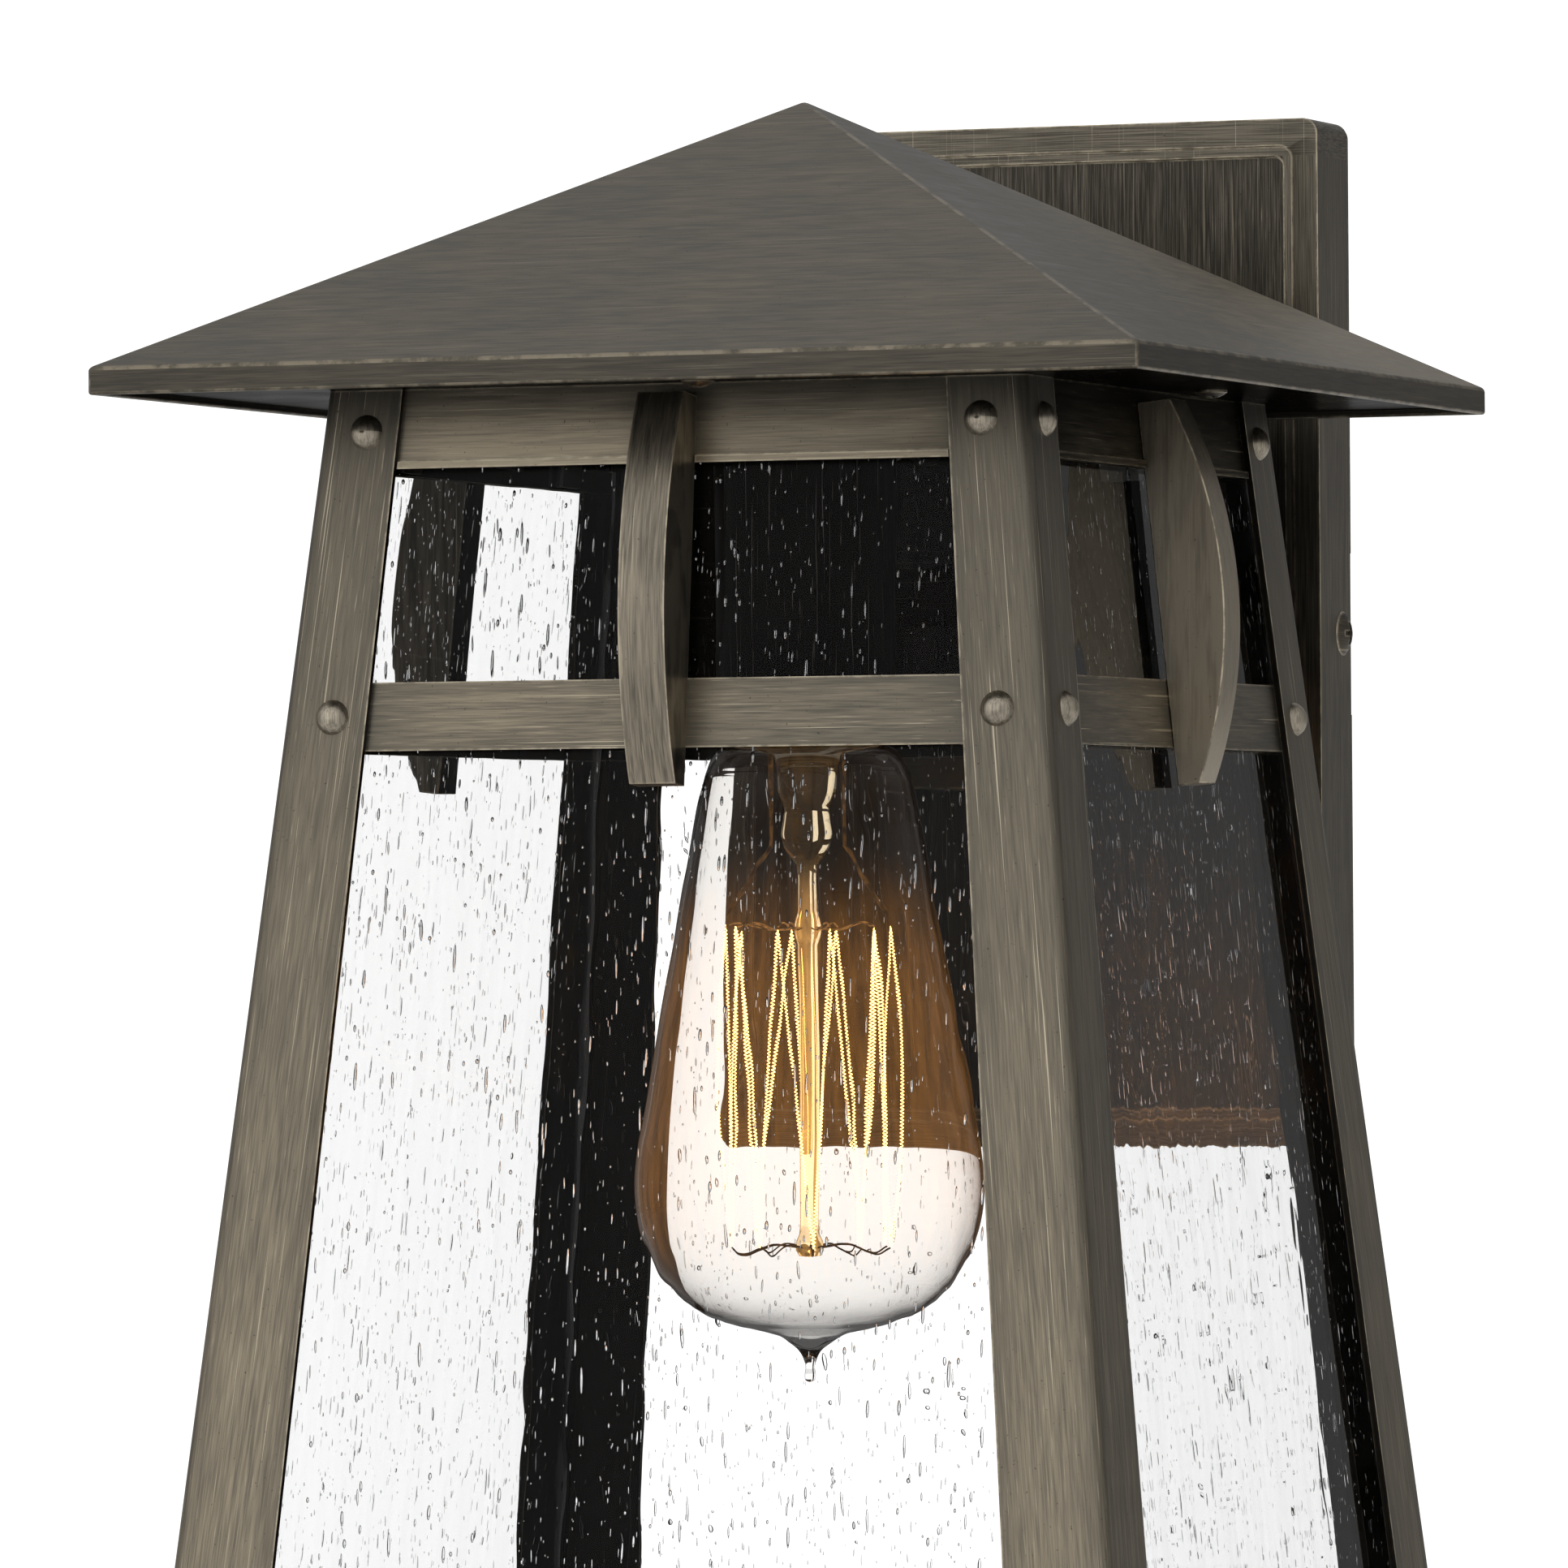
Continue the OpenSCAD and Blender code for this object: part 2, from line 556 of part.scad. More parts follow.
// both lamp wires: socket, nipple, roof hollow, soffit slot, header hole, arm, back plate
function wire_route(x, low) = [
    [x, 0, -low], [x, 0, 17], [x, 20, 19], [x, half(0) - rail_o - 14, 12],
    [x, half(0) - rail_o - 9, 4], [x * wire_close, half(0) - rail_o - 7, -2],
    [x * wire_close, half(0) - rail_o - 3, -arm_wire_z], [x * wire_close, half(0) + 8, -arm_wire_z - 1],
    [x, half(0) + 18, -22], [x, half(0) + 22, -eave_z],
    [x, reach - panel_y + 6, -eave_z]];
module wire_hot() color([0.08, 0.08, 0.08]) lantern()
    wire(concat(wire_route(-wire_x, contact_drop - 2.9), [[-14, reach - 8, -eave_z - 22]]), wire_r);
module wire_neutral() color([0.9, 0.9, 0.88]) lantern()
    wire(concat(wire_route(wire_x, contact_drop - 2.9), [[14, reach - 8, -eave_z - 22]]), wire_r);
module wire_ground() color([0.2, 0.5, 0.25]) wire([
    [5.6, -panel_y + 3, eave_z - stud_z[0] + 0.5], [9, -panel_y + 6, 17], [14, -9, 14.5], [17.5, -4.6, 12.2],
    [20.5, -bracket_t - ground_r - 0.1, 11.3], [26, -bracket_t - ground_r, 11.2]], ground_r);
module wire_connectors() color([0.85, 0.55, 0.15]) lantern() for (x = [-1, 1])
    translate([x * 14, reach - 8, -eave_z - 22]) rotate([0, x * 8, 0]) difference() {
        translate([0, 0, -16]) cylinder(h = 18, r1 = 3.2, r2 = 4.6);
        translate([0, 0, -3]) cylinder(h = 9, r = wire_r + 1.9);
    }
module wire_grommet() color([0.1, 0.1, 0.1]) lantern() side(2) on_face(0, arm_wire_z, post_t + rail_t) difference() {
    union() {
        translate([0, 0, -1.2]) cylinder(h = 1.2, r = grommet_r + 0.75);
        translate([0, 0, -1.2]) cylinder(h = 5, r = grommet_r);
    }
    translate([0, 0, -2]) cylinder(h = 9, r = grommet_r - 0.6);
}

// outline of the bulb's outside, from the neck down to the tip, drawn in by a wall thickness
function dome_r(t) = bulb_d / 2 * pow(cos(t), 0.86);
function dome_z(t) = wide_drop + (dome_low - wide_drop) * pow(sin(t), 0.94);
function bulb_outline(w) = concat(
    [[11.9 - w, neck_drop - 4], [11.9 - w, neck_drop + 0.9], [15.9 - w, neck_drop + 2.6], [18.3 - w, neck_drop + 6],
     [cone_top_r - w, cone_top]],
    [for (k = [0 : 3]) [cone_top_r + (30.2 - cone_top_r) * (k + 1) / 5 * 1.16 - w,
                        cone_top + (wide_drop - 13 - cone_top) * (k + 1) / 5 * 1.2]],
    [for (t = [0 : 6 : 84]) [max(dome_r(t) - w, 1), dome_z(t) - w * sin(t)]]);
module bulb_glass() color(clear) lantern() rotate([180, 0, 0]) rotate_extrude($fn = 96) difference() {
    union() {
        polygon(concat(bulb_outline(0), [[0, dome_low], [0, neck_drop - 4]]));
        // drawn tip
        polygon([[0, dome_low - 2], [5.4, dome_low - 0.6], [2.2, dome_low + 1.6], [1.1, dome_low + 4],
                 [1, tip_drop - 1], [0.5, tip_drop], [0, tip_drop]]);
    }
    polygon(concat(bulb_outline(bulb_wall), [[0, dome_low - bulb_wall], [0, neck_drop - 5],
                                             [11.9 - bulb_wall, neck_drop - 5]]));
}
module bulb_base() color(brass) lantern() difference() {
    top = contact_drop + 4;
    low = neck_drop + 0.6;
    union() {
        translate([0, 0, -low]) cylinder(h = low - top, r = base_r - 0.6);
        for (k = [0 : 4]) translate([0, 0, -top - 2.2 - k * thread_pitch])
            rotate_extrude() translate([base_r - 0.75, 0]) circle(0.75, $fn = 24);
        translate([0, 0, -low]) cylinder(h = 1, r = base_r);
    }
    translate([0, 0, -low - 1]) cylinder(h = low - top + 0.4, r = base_r - 1);
    translate([0, 0, -low]) cylinder(h = low, r = 9);
}
module bulb_insulator() color([0.1, 0.1, 0.11]) lantern() difference() {
    union() {
        translate([0, 0, -contact_drop - 4]) cylinder(h = 3, r1 = 11.5, r2 = 5);
        translate([0, 0, -contact_drop - 5]) cylinder(h = 1.2, r = 8.9);
    }
    translate([0, 0, -contact_drop - 8]) cylinder(h = 20, r = 2.55);
}
module bulb_contact() color(steel) lantern() {
    translate([0, 0, -contact_drop - 1]) cylinder(h = 1, r1 = 4.4, r2 = 3.4);
    translate([0, 0, -contact_drop - 5]) cylinder(h = 4.2, r = 2.5);
}
module bulb_stem() color(clear) lantern() {
    rod_low = cage_ring_low + 2;
    // flared mount sealed into the neck, then the pinch and the centre rod
    translate([0, 0, -neck_drop - 1]) cylinder(h = 1.4, r1 = 9, r2 = 11);
    translate([0, 0, -neck_drop - 8]) cylinder(h = 7.2, r1 = 5.4, r2 = 6.4);
    translate([0, 0, -neck_drop - 15]) cylinder(h = 7.2, r1 = 4.2, r2 = 5.4);
    translate([0, 0, -neck_drop - 18]) sphere(4.4, $fn = 32);
    translate([0, 0, -rod_low]) cylinder(h = rod_low - neck_drop - 14, r = 1.3);
    for (z = [cage_ring_top, cage_ring_low + 0.5]) translate([0, 0, -z]) cylinder(h = 3, r = 2.3, center = true);
}
module bulb_leads() color(steel) lantern() {
    for (x = [-1, 1]) wire([[x * 7.2, 0, -neck_drop - 2], [x * 7.4, 0, -neck_drop - 20],
                            [x * cage_ring_r * 0.94, x * cage_ring_r * 0.3, -cage_ring_top + 2]], 0.35);
}
function ring_point(k, z) = [cage_ring_r * cos(18 + k * 360 / strands), cage_ring_r * sin(18 + k * 360 / strands), -z];
module bulb_supports() color(steel) lantern() for (k = [1 : strands - 1]) {
    z = k % 2 == 0 ? cage_ring_top : cage_ring_low + 0.5;
    a = 18 + k * 360 / strands;
    rod([2.36 * cos(a), 2.36 * sin(a), -z], ring_point(k, z) * 0.97 + [0, 0, -z * 0.03], 0.2);
}
module bulb_filament() color([1, 0.75, 0.35]) lantern()
    wire([for (k = [0 : strands]) ring_point(k, k % 2 == 0 ? cage_ring_top : cage_ring_low)], 0.32);

roof_shell();
roof_standoffs();
soffit_plate();
soffit_screws();
header_front();
header_right();
header_rear();
header_left();
header_screws();
header_nuts();
post_front_right();
post_rear_right();
post_rear_left();
post_front_left();
mid_rail_front();
mid_rail_right();
mid_rail_rear();
mid_rail_left();
bottom_rail_front();
bottom_rail_right();
bottom_rail_rear();
bottom_rail_left();
frame_rivets();
strap_front();
strap_right();
strap_left();
strap_screws();
pane_front();
pane_right();
pane_rear();
pane_left();
glass_clips();
arm_box();
arm_screws();
arm_nuts();
back_plate();
wall_gasket();
mounting_bracket();
side_screws();
ground_screw();
socket_nipple();
nipple_nut();
socket_cup();
socket_body();
socket_shell();
socket_contact();
wire_hot();
wire_neutral();
wire_ground();
wire_connectors();
wire_grommet();
bulb_glass();
bulb_base();
bulb_insulator();
bulb_contact();
bulb_stem();
bulb_leads();
bulb_supports();
bulb_filament();
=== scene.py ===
import math
import random

import bmesh
import bpy
from mathutils import Matrix, Vector


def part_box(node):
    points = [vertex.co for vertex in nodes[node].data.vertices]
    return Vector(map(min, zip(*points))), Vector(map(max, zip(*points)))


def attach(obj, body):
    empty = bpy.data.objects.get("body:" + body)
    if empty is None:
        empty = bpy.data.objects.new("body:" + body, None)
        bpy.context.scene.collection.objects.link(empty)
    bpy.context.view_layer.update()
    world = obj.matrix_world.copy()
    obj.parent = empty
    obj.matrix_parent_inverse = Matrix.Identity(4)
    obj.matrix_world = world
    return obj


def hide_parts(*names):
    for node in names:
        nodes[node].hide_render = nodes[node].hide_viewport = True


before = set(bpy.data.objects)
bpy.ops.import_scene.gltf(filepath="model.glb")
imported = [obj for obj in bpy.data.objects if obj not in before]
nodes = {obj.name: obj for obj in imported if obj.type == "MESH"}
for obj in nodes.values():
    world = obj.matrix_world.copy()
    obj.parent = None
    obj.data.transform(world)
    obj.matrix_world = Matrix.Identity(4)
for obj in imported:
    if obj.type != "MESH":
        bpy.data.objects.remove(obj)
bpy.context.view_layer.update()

# ---------------------------------------------------------------- sizes, in metres, as in part.scad
MM = 0.001
EAVE_Z = 0.040          # the roof's lower edge above the origin
REACH = 0.131           # the lantern's axis in front of the wall
HALF = 0.0668           # half width of the cage at the roof's lower edge
FLARE = 0.105           # outward flare of each face
POST_T = 1.3 * MM
RAIL_T = 1.8 * MM
GLASS_T = 2.5 * MM
LEAN = math.atan(FLARE)
AXIS = Vector((0, -REACH, EAVE_Z))
LAMP_DROP = 0.0368      # the lamp's contact below the roof's lower edge
LAMP_LEN = 0.142
TIP = LAMP_DROP + LAMP_LEN
NECK = LAMP_DROP + 0.024
RING_R = 0.015
RING_TOP = TIP - 0.083
RING_LOW = TIP - 0.025
STRANDS = 20
STRAP_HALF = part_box("strap_front")[1][0]


def half(drop):
    """Distance from the axis to a face, at a drop below the roof's lower edge."""
    return HALF + FLARE * drop


SIDES = ("front", "right", "rear", "left")
ROOT = "lantern"        # the body that hangs on the wall
LAMP = "lamp"           # the body that screws in and out


# ---------------------------------------------------------------- node-tree helper
class Tree:
    """Thin wrapper that adds and links shader nodes."""

    def __init__(self, tree):
        self.t = tree
        tree.nodes.clear()

    def add(self, kind, **values):
        n = self.t.nodes.new(kind)
        for k, v in values.items():
            setattr(n, k, v)
        return n

    def put(self, value, socket):
        if isinstance(value, bpy.types.NodeSocket):
            self.t.links.new(value, socket)
        else:
            socket.default_value = value

    def math(self, op, a, b=0.0, c=0.0):
        n = self.add("ShaderNodeMath", operation=op)
        for k, v in enumerate((a, b, c)):
            self.put(v, n.inputs[k])
        return n.outputs[0]

    def vec(self, op, a, b=(0, 0, 0)):
        n = self.add("ShaderNodeVectorMath", operation=op)
        self.put(a, n.inputs[0])
        self.put(b, n.inputs[1])
        return n.outputs["Value"] if op == "DOT_PRODUCT" else n.outputs[0]

    def ramp(self, value, low, high, to_low=0.0, to_high=1.0):
        n = self.add("ShaderNodeMapRange", interpolation_type="SMOOTHSTEP")
        self.put(value, n.inputs["Value"])
        for k, v in (("From Min", low), ("From Max", high), ("To Min", to_low), ("To Max", to_high)):
            n.inputs[k].default_value = v
        return n.outputs["Result"]

    def mix(self, fac, a, b):
        n = self.add("ShaderNodeMix", data_type="RGBA")
        self.put(fac, n.inputs[0])
        self.put(a, n.inputs[6])
        self.put(b, n.inputs[7])
        return n.outputs[2]

    def noise(self, vector, scale, detail=2.0, rough=0.5):
        n = self.add("ShaderNodeTexNoise")
        self.put(vector, n.inputs["Vector"])
        n.inputs["Scale"].default_value = scale
        n.inputs["Detail"].default_value = detail
        n.inputs["Roughness"].default_value = rough
        return n.outputs["Fac"]

    def bump(self, height, distance, strength):
        n = self.add("ShaderNodeBump")
        n.inputs["Strength"].default_value = strength
        n.inputs["Distance"].default_value = distance
        self.put(height, n.inputs["Height"])
        return n.outputs["Normal"]

    def scaled(self, xyz, fx, fy, fz):
        """The point with each coordinate multiplied by its own factor."""
        return self.combine(*(self.math("MULTIPLY", v, f) for v, f in zip(xyz, (fx, fy, fz))))

    def both(self, a, b, share):
        """a and b mixed, with share of b."""
        return self.math("MULTIPLY_ADD", a, 1.0 - share, self.math("MULTIPLY", b, share))

    def combine(self, x, y, z):
        n = self.add("ShaderNodeCombineXYZ")
        for k, v in enumerate((x, y, z)):
            self.put(v, n.inputs[k])
        return n.outputs[0]

    def split(self, v):
        n = self.add("ShaderNodeSeparateXYZ")
        self.put(v, n.inputs[0])
        return n.outputs

    def place(self):
        return self.add("ShaderNodeTexCoord").outputs["Object"]

    def finish(self, shader):
        out = self.add("ShaderNodeOutputMaterial")
        self.t.links.new(shader, out.inputs["Surface"])


def new_material(name):
    m = bpy.data.materials.new(name)
    m.use_nodes = True
    return m, Tree(m.node_tree)


def rgb(*c):
    return (*c, 1.0)


def principled(t, **values):
    n = t.add("ShaderNodeBsdfPrincipled")
    for k, v in values.items():
        t.put(v, n.inputs[k.replace("_", " ")])
    return n


# ---------------------------------------------------------------- materials
SKIRT_TOP = EAVE_Z + 5.0 * MM       # top of the roof's upright edge
HOLLOW = (0.0612, 0.0972)           # half width and half height of the hollow behind the back plate's panel
HOLLOW_Y = -0.0180                  # its floor


def across_face(t, x, y):
    """Distance from the middle of whichever cage face a point lies on."""
    return t.math("MINIMUM", t.math("ABSOLUTE", x), t.math("ABSOLUTE", t.math("ADD", y, REACH)))


def above_skirt(t, z, low=0.0, high=1.0):
    """low on the roof's upright edge, high on its slopes."""
    return t.ramp(z, SKIRT_TOP - 0.3 * MM, SKIRT_TOP, low, high)


def painted_slope_light(t, x, y, z, slopes):
    """Painted light and shade added to the colour of the roof's two side slopes, and where they are."""
    side = t.math("SUBTRACT", t.math("ABSOLUTE", x), t.math("ABSOLUTE", t.math("ADD", y, REACH)))
    rearward = t.math("ADD", t.math("ABSOLUTE", x), t.math("ADD", y, REACH))
    where = t.math("MULTIPLY", above_skirt(t, z), t.ramp(side, 0.0, 0.5 * MM))
    return t.ramp(rearward, 0.020, 0.160, slopes[0], slopes[1]), where


def rail_middle(t, z, wobble, middle):
    """What the mix towards the light bronze is multiplied by at a height: lightest along a rail's middle,
    darker towards its top and bottom edges.
    """
    off = t.math("ADD", t.math("ABSOLUTE", t.math("SUBTRACT", z, middle[0])), wobble)
    return t.ramp(off, middle[1] * 0.45, middle[1] * 1.05, 1.08, 0.58)


def face_ends(t, x, y, wobble, ends):
    """What the mix towards the light bronze is multiplied by, from the middle of a cage face to its ends."""
    off = t.math("ADD", across_face(t, x, y), t.math("MULTIPLY", wobble, 2.0))
    return t.ramp(off, ends[0], ends[1], 1.05, ends[2])


def flange_centre(t, x, y, z, wobble, centre):
    """What the mix towards the light bronze is multiplied by across a post's flange: lightest along its
    middle, darker next to its edges.
    """
    wide = t.math("MULTIPLY_ADD", t.math("SUBTRACT", EAVE_Z, z), FLARE, HALF)
    share = t.math("DIVIDE", t.math("ADD", across_face(t, x, y), t.math("MULTIPLY", wobble, 0.7)), wide)
    off = t.math("ABSOLUTE", t.math("SUBTRACT", share, centre[0]))
    return t.ramp(off, centre[1] * 0.4, centre[1], 1.08, 0.62)


def framed_panel(t, x, y, z, fac, panel, rim):
    """The back plate's burnish: little in the hollow behind, more on the frame; the panel darker towards the
    bottom.
    """
    wide, high = t.math("ABSOLUTE", x), t.math("ABSOLUTE", z)
    hollow = t.math("MULTIPLY", t.ramp(wide, HOLLOW[0] - 0.1 * MM, HOLLOW[0] + 0.1 * MM, 1.0, 0.0),
                    t.ramp(high, HOLLOW[1] - 0.1 * MM, HOLLOW[1] + 0.1 * MM, 1.0, 0.0))
    hollow = t.math("MULTIPLY", t.ramp(y, HOLLOW_Y - 0.2 * MM, HOLLOW_Y + 0.1 * MM), hollow)
    fac = t.math("MULTIPLY", fac, t.math("MULTIPLY_ADD", hollow, -0.8, 1.0))
    outside = t.math("MAXIMUM", t.ramp(wide, panel[0] - 0.2 * MM, panel[0] + 0.2 * MM),
                     t.ramp(high, panel[1] - 0.2 * MM, panel[1] + 0.2 * MM))
    fac = t.math("MULTIPLY_ADD", t.math("MULTIPLY", outside, t.math("SUBTRACT", 1.0, hollow)), rim, fac)
    # the panel, not the frame, darker below 40 mm up
    return t.math("MULTIPLY", fac, t.math("MAXIMUM", outside, t.ramp(z, 0.0, 0.040, 0.35, 1.0)))


def sideways_strips(t, x, y, z, lines, fine, panel):
    """The strokes, turned sideways on the back plate's top and bottom strips."""
    across = t.noise(t.scaled((x, y, z), 60.0, 400.0, fine * 0.6), 1.0, 3.0, 0.6)
    strip = t.ramp(t.math("ABSOLUTE", z), panel[1] - 0.1 * MM, panel[1] + 0.1 * MM)
    return t.math("MULTIPLY_ADD", strip, t.math("SUBTRACT", t.ramp(across, 0.34, 0.66), lines), lines)


def rubbed_edges(t, p, flat, wear):
    """How far the metal is rubbed through, from how far its rounded edge leans from the flat face."""
    rounded = t.add("ShaderNodeBevel", samples=5)
    rounded.inputs["Radius"].default_value = 0.75 * MM
    lean = t.math("SUBTRACT", 1.0, t.vec("DOT_PRODUCT", rounded.outputs[0], flat))
    patchy = t.ramp(t.noise(p, 260.0, 3.0, 0.6), 0.36, 0.60)
    worn = t.math("MULTIPLY", t.ramp(lean, 0.02, 0.14), t.math("MULTIPLY_ADD", patchy, 0.8, 0.2))
    return t.math("MULTIPLY", worn, wear)


def patina(t, distance):
    """The burnish left where pieces meet, from how closed in the surface is within a distance: patina in the
    joins, and painted shade there as well.
    """
    near = t.add("ShaderNodeAmbientOcclusion", samples=6)
    near.inputs["Distance"].default_value = distance
    return t.ramp(near.outputs["AO"], 0.45, 0.97, 0.30, 1.0)


def bronze(name, brush, shear=(0.0, 0.0), dark=rgb(0.100, 0.092, 0.077), light=rgb(0.36, 0.305, 0.222),
           tone=0.5, contrast=0.5, wear=0.6, rough=0.38, eave=1.0, fade=0.052, gold=rgb(0.72, 0.63, 0.47),
           fine=3600.0, middle=None, ends=None, centre=None, panel=None, rim=0.0, skirt=0.0, scratches=0.5,
           coarse=0.33, slopes=None, painted_foot_light=None, graze=1.0, inside=0.0, weave=(1.0, 1.0), painted_side_light=None):
    """Burnished bronze brushed along one direction, darker where a cloth doesn't reach and, as painted shade,
    where pieces meet; eave, skirt, slopes, foot, swing and inside paint more light and shade into the colour.

    brush: 'level' or 'up', the direction of the strokes; shear leans upright ones to follow a flared post
    dark, light, tone, contrast: colours of the patina and of the burnish, mean burnish and its variation
    fine, coarse: fine strokes to a metre, and how many broad ones there are to each
    weave: how much x and y each count across upright strokes
    eave, fade: painted shade under the roof: the share of the burnish left right under the roof, growing to
    all of it over fade
    middle: (height, half width) of a rail's burnished middle
    ends: (from, to, times) changes the burnish with the distance from a face's middle
    centre: (share, half width) of a post flange's burnished middle, as shares of the cage's half width
    panel, rim: half width and half height of the back plate's panel, and what is added outside it
    skirt: painted shade, darkening the roof's upright edge
    slopes: painted light and shade added to the colour of the roof's side slopes, from the front and top to
    the rear and bottom
    foot: (from, to, times) painted reflection of the pale floor, brightening the colour towards a strap's
    lower end
    swing: (left, right) painted light and shade: how much lighter or darker the left and right of the cage are
    made
    inside: painted shade, blackening the faces that look into the lantern
    scratches, wear, gold: strength of the scratches, of the rubbed edges, and the colour of both
    rough, graze: mean roughness, and the tint of the reflection at grazing angles"""
    m, t = new_material(name)
    p = t.place()
    x, y, z = t.split(p)
    sx, sy = x, y
    if shear != (0.0, 0.0):
        sx = t.math("ADD", x, t.math("MULTIPLY", z, shear[0]))
        sy = t.math("ADD", y, t.math("MULTIPLY", z, shear[1]))

    def strokes(across, along, detail):
        if brush == "level":
            v = t.scaled((sx, sy, z), along, along, across)
        else:
            v = t.scaled((sx, sy, z), across * weave[0], across * weave[1], along)
        return t.noise(v, 1.0, detail, 0.55)

    hair = strokes(fine, 120.0, 2.0)
    band = strokes(fine * coarse, 48.0, 3.0)
    nick = strokes(fine * 0.8, 20.0, 1.0)
    cloud = t.noise(p, 46.0, 4.0, 0.55)
    blotch = t.noise(p, 15.0, 2.0, 0.5)
    wobble = t.math("MULTIPLY", t.math("SUBTRACT", cloud, 0.5), 3.0 * MM)
    lines = t.both(t.ramp(hair, 0.36, 0.64), t.ramp(band, 0.34, 0.66), 0.5)
    if panel:
        lines = sideways_strips(t, x, y, z, lines, fine, panel)

    # burnish, from 0 for patina to 1 for bright metal
    fac = t.math("MULTIPLY_ADD", t.math("SUBTRACT", lines, 0.5), contrast, tone)
    fac = t.math("MULTIPLY_ADD", t.math("SUBTRACT", t.both(cloud, blotch, 0.25), 0.5), 0.42, fac)
    # patina where pieces meet, and painted shade there too
    fac = t.math("MULTIPLY", fac, patina(t, 7 * MM))
    # painted light and shade on the roof's side slopes
    if slopes:
        added, where = painted_slope_light(t, x, y, z, slopes)
        fac = t.math("MULTIPLY_ADD", where, added, fac)
    shares = []
    # painted shade under the roof: the colour darker towards the roof's lower edge
    if eave < 1.0:
        shares.append(t.ramp(z, EAVE_Z - fade, EAVE_Z, 1.0, eave))
    # painted light and shade: the left of the cage made lighter, the right darker
    if painted_side_light:
        shares.append(t.ramp(x, -0.050, 0.050, painted_side_light[0], painted_side_light[1]))
    # painted reflection of the floor: the colour lighter towards a strap's lower end
    if painted_foot_light:
        shares.append(t.ramp(z, painted_foot_light[1], painted_foot_light[0], painted_foot_light[2], 1.0))
    if middle:
        shares.append(rail_middle(t, z, wobble, middle))
    if ends:
        shares.append(face_ends(t, x, y, wobble, ends))
    if centre:
        shares.append(flange_centre(t, x, y, z, wobble, centre))
    for share in shares:
        fac = t.math("MULTIPLY", fac, share)
    if panel:
        fac = framed_panel(t, x, y, z, fac, panel, rim)
    fac = t.math("MAXIMUM", t.math("MINIMUM", fac, 1.0), 0.0)

    body = t.mix(fac, dark, light)
    # painted shade on the roof's upright edge
    if skirt:
        body = t.mix(above_skirt(t, z, skirt, 0.0), body, rgb(0.01, 0.01, 0.01))
    # pale hairline scratches, short and long, and dark specks
    thin = t.math("MAXIMUM", t.math("MULTIPLY", t.ramp(hair, 0.66, 0.78), 0.6), t.ramp(nick, 0.67, 0.77))
    body = t.mix(t.math("MULTIPLY", thin, scratches), body, gold)
    speck = t.noise(p, 1900.0, 2.0, 0.5)
    body = t.mix(t.math("MULTIPLY", t.ramp(speck, 0.69, 0.78), 0.7), body, rgb(0.02, 0.018, 0.014))
    flat = t.add("ShaderNodeNewGeometry").outputs["True Normal"]
    body = t.mix(rubbed_edges(t, p, flat, wear), body, gold)
    # painted shade on the faces that look into the lantern
    if inside:
        outward = t.vec("DOT_PRODUCT", flat, t.vec("NORMALIZE", t.combine(x, t.math("ADD", y, REACH), 0.0)))
        body = t.mix(t.ramp(outward, -0.25, -0.10, inside, 0.0), body, rgb(0.010, 0.009, 0.008))

    s = principled(t, Metallic=1.0, Specular_Tint=rgb(graze, graze, graze))
    t.put(body, s.inputs["Base Color"])
    r = t.math("MULTIPLY_ADD", band, 0.20, rough - 0.10)
    r = t.math("MULTIPLY_ADD", t.math("SUBTRACT", cloud, 0.5), 0.16, r)
    t.put(r, s.inputs["Roughness"])
    t.put(t.bump(t.both(hair, band, 0.5), 0.035 * MM, 0.55), s.inputs["Normal"])
    t.finish(s.outputs[0])
    return m


def worn_edge(name, dull, bright):
    """The rounded edges themselves: bronze rubbed through to a paler metal, in patches."""
    m, t = new_material(name)
    p = t.place()
    patch = t.ramp(t.noise(p, 170.0, 4.0, 0.65), 0.40, 0.60)
    grain = t.noise(p, 2400.0, 2.0, 0.5)
    s = principled(t, Metallic=1.0)
    fac = t.math("MULTIPLY_ADD", grain, 0.35, t.math("MULTIPLY", patch, 0.75))
    t.put(t.mix(fac, dull, bright), s.inputs["Base Color"])
    t.put(t.math("MULTIPLY_ADD", grain, 0.2, 0.28), s.inputs["Roughness"])
    t.put(t.bump(grain, 0.02 * MM, 0.4), s.inputs["Normal"])
    t.finish(s.outputs[0])
    return m


def filament_light(t, z, reach):
    """How strongly the painted glow stands for the filament's light at a level: 1 beside its middle, fading
    above and below.
    """
    centre = EAVE_Z - (RING_TOP + RING_LOW) / 2
    return t.ramp(t.math("ABSOLUTE", t.math("SUBTRACT", z, centre)), reach * 0.45, reach * 1.50, 1.0, 0.04)


def plain_metal(name, colour, rough, lit=0.0):
    """Plated or drawn metal. lit paints the filament's light on as emission, for wires inside the lamp."""
    m, t = new_material(name)
    p = t.place()
    n = t.noise(p, 900.0, 3.0, 0.6)
    c = t.noise(p, 90.0, 3.0, 0.5)
    dull = tuple(v * 0.86 for v in colour[:3]) + (1.0,)
    s = principled(t, Metallic=1.0)
    t.put(t.mix(c, dull, colour), s.inputs["Base Color"])
    t.put(t.math("MULTIPLY_ADD", n, 0.2, rough - 0.1), s.inputs["Roughness"])
    t.put(t.bump(n, 0.06 * MM, 0.4), s.inputs["Normal"])
    # painted light: the wire glows orange as if lit by the filament, most towards the upper ring
    if lit:
        z = t.split(p)[2]
        high = t.ramp(z, EAVE_Z - RING_LOW + 0.004, EAVE_Z - RING_TOP)
        t.put(t.mix(t.math("MULTIPLY", high, t.ramp(n, 0.35, 0.65)), rgb(0, 0, 0), rgb(1.0, 0.45, 0.12)),
              s.inputs["Emission Color"])
        s.inputs["Emission Strength"].default_value = lit
    t.finish(s.outputs[0])
    return m


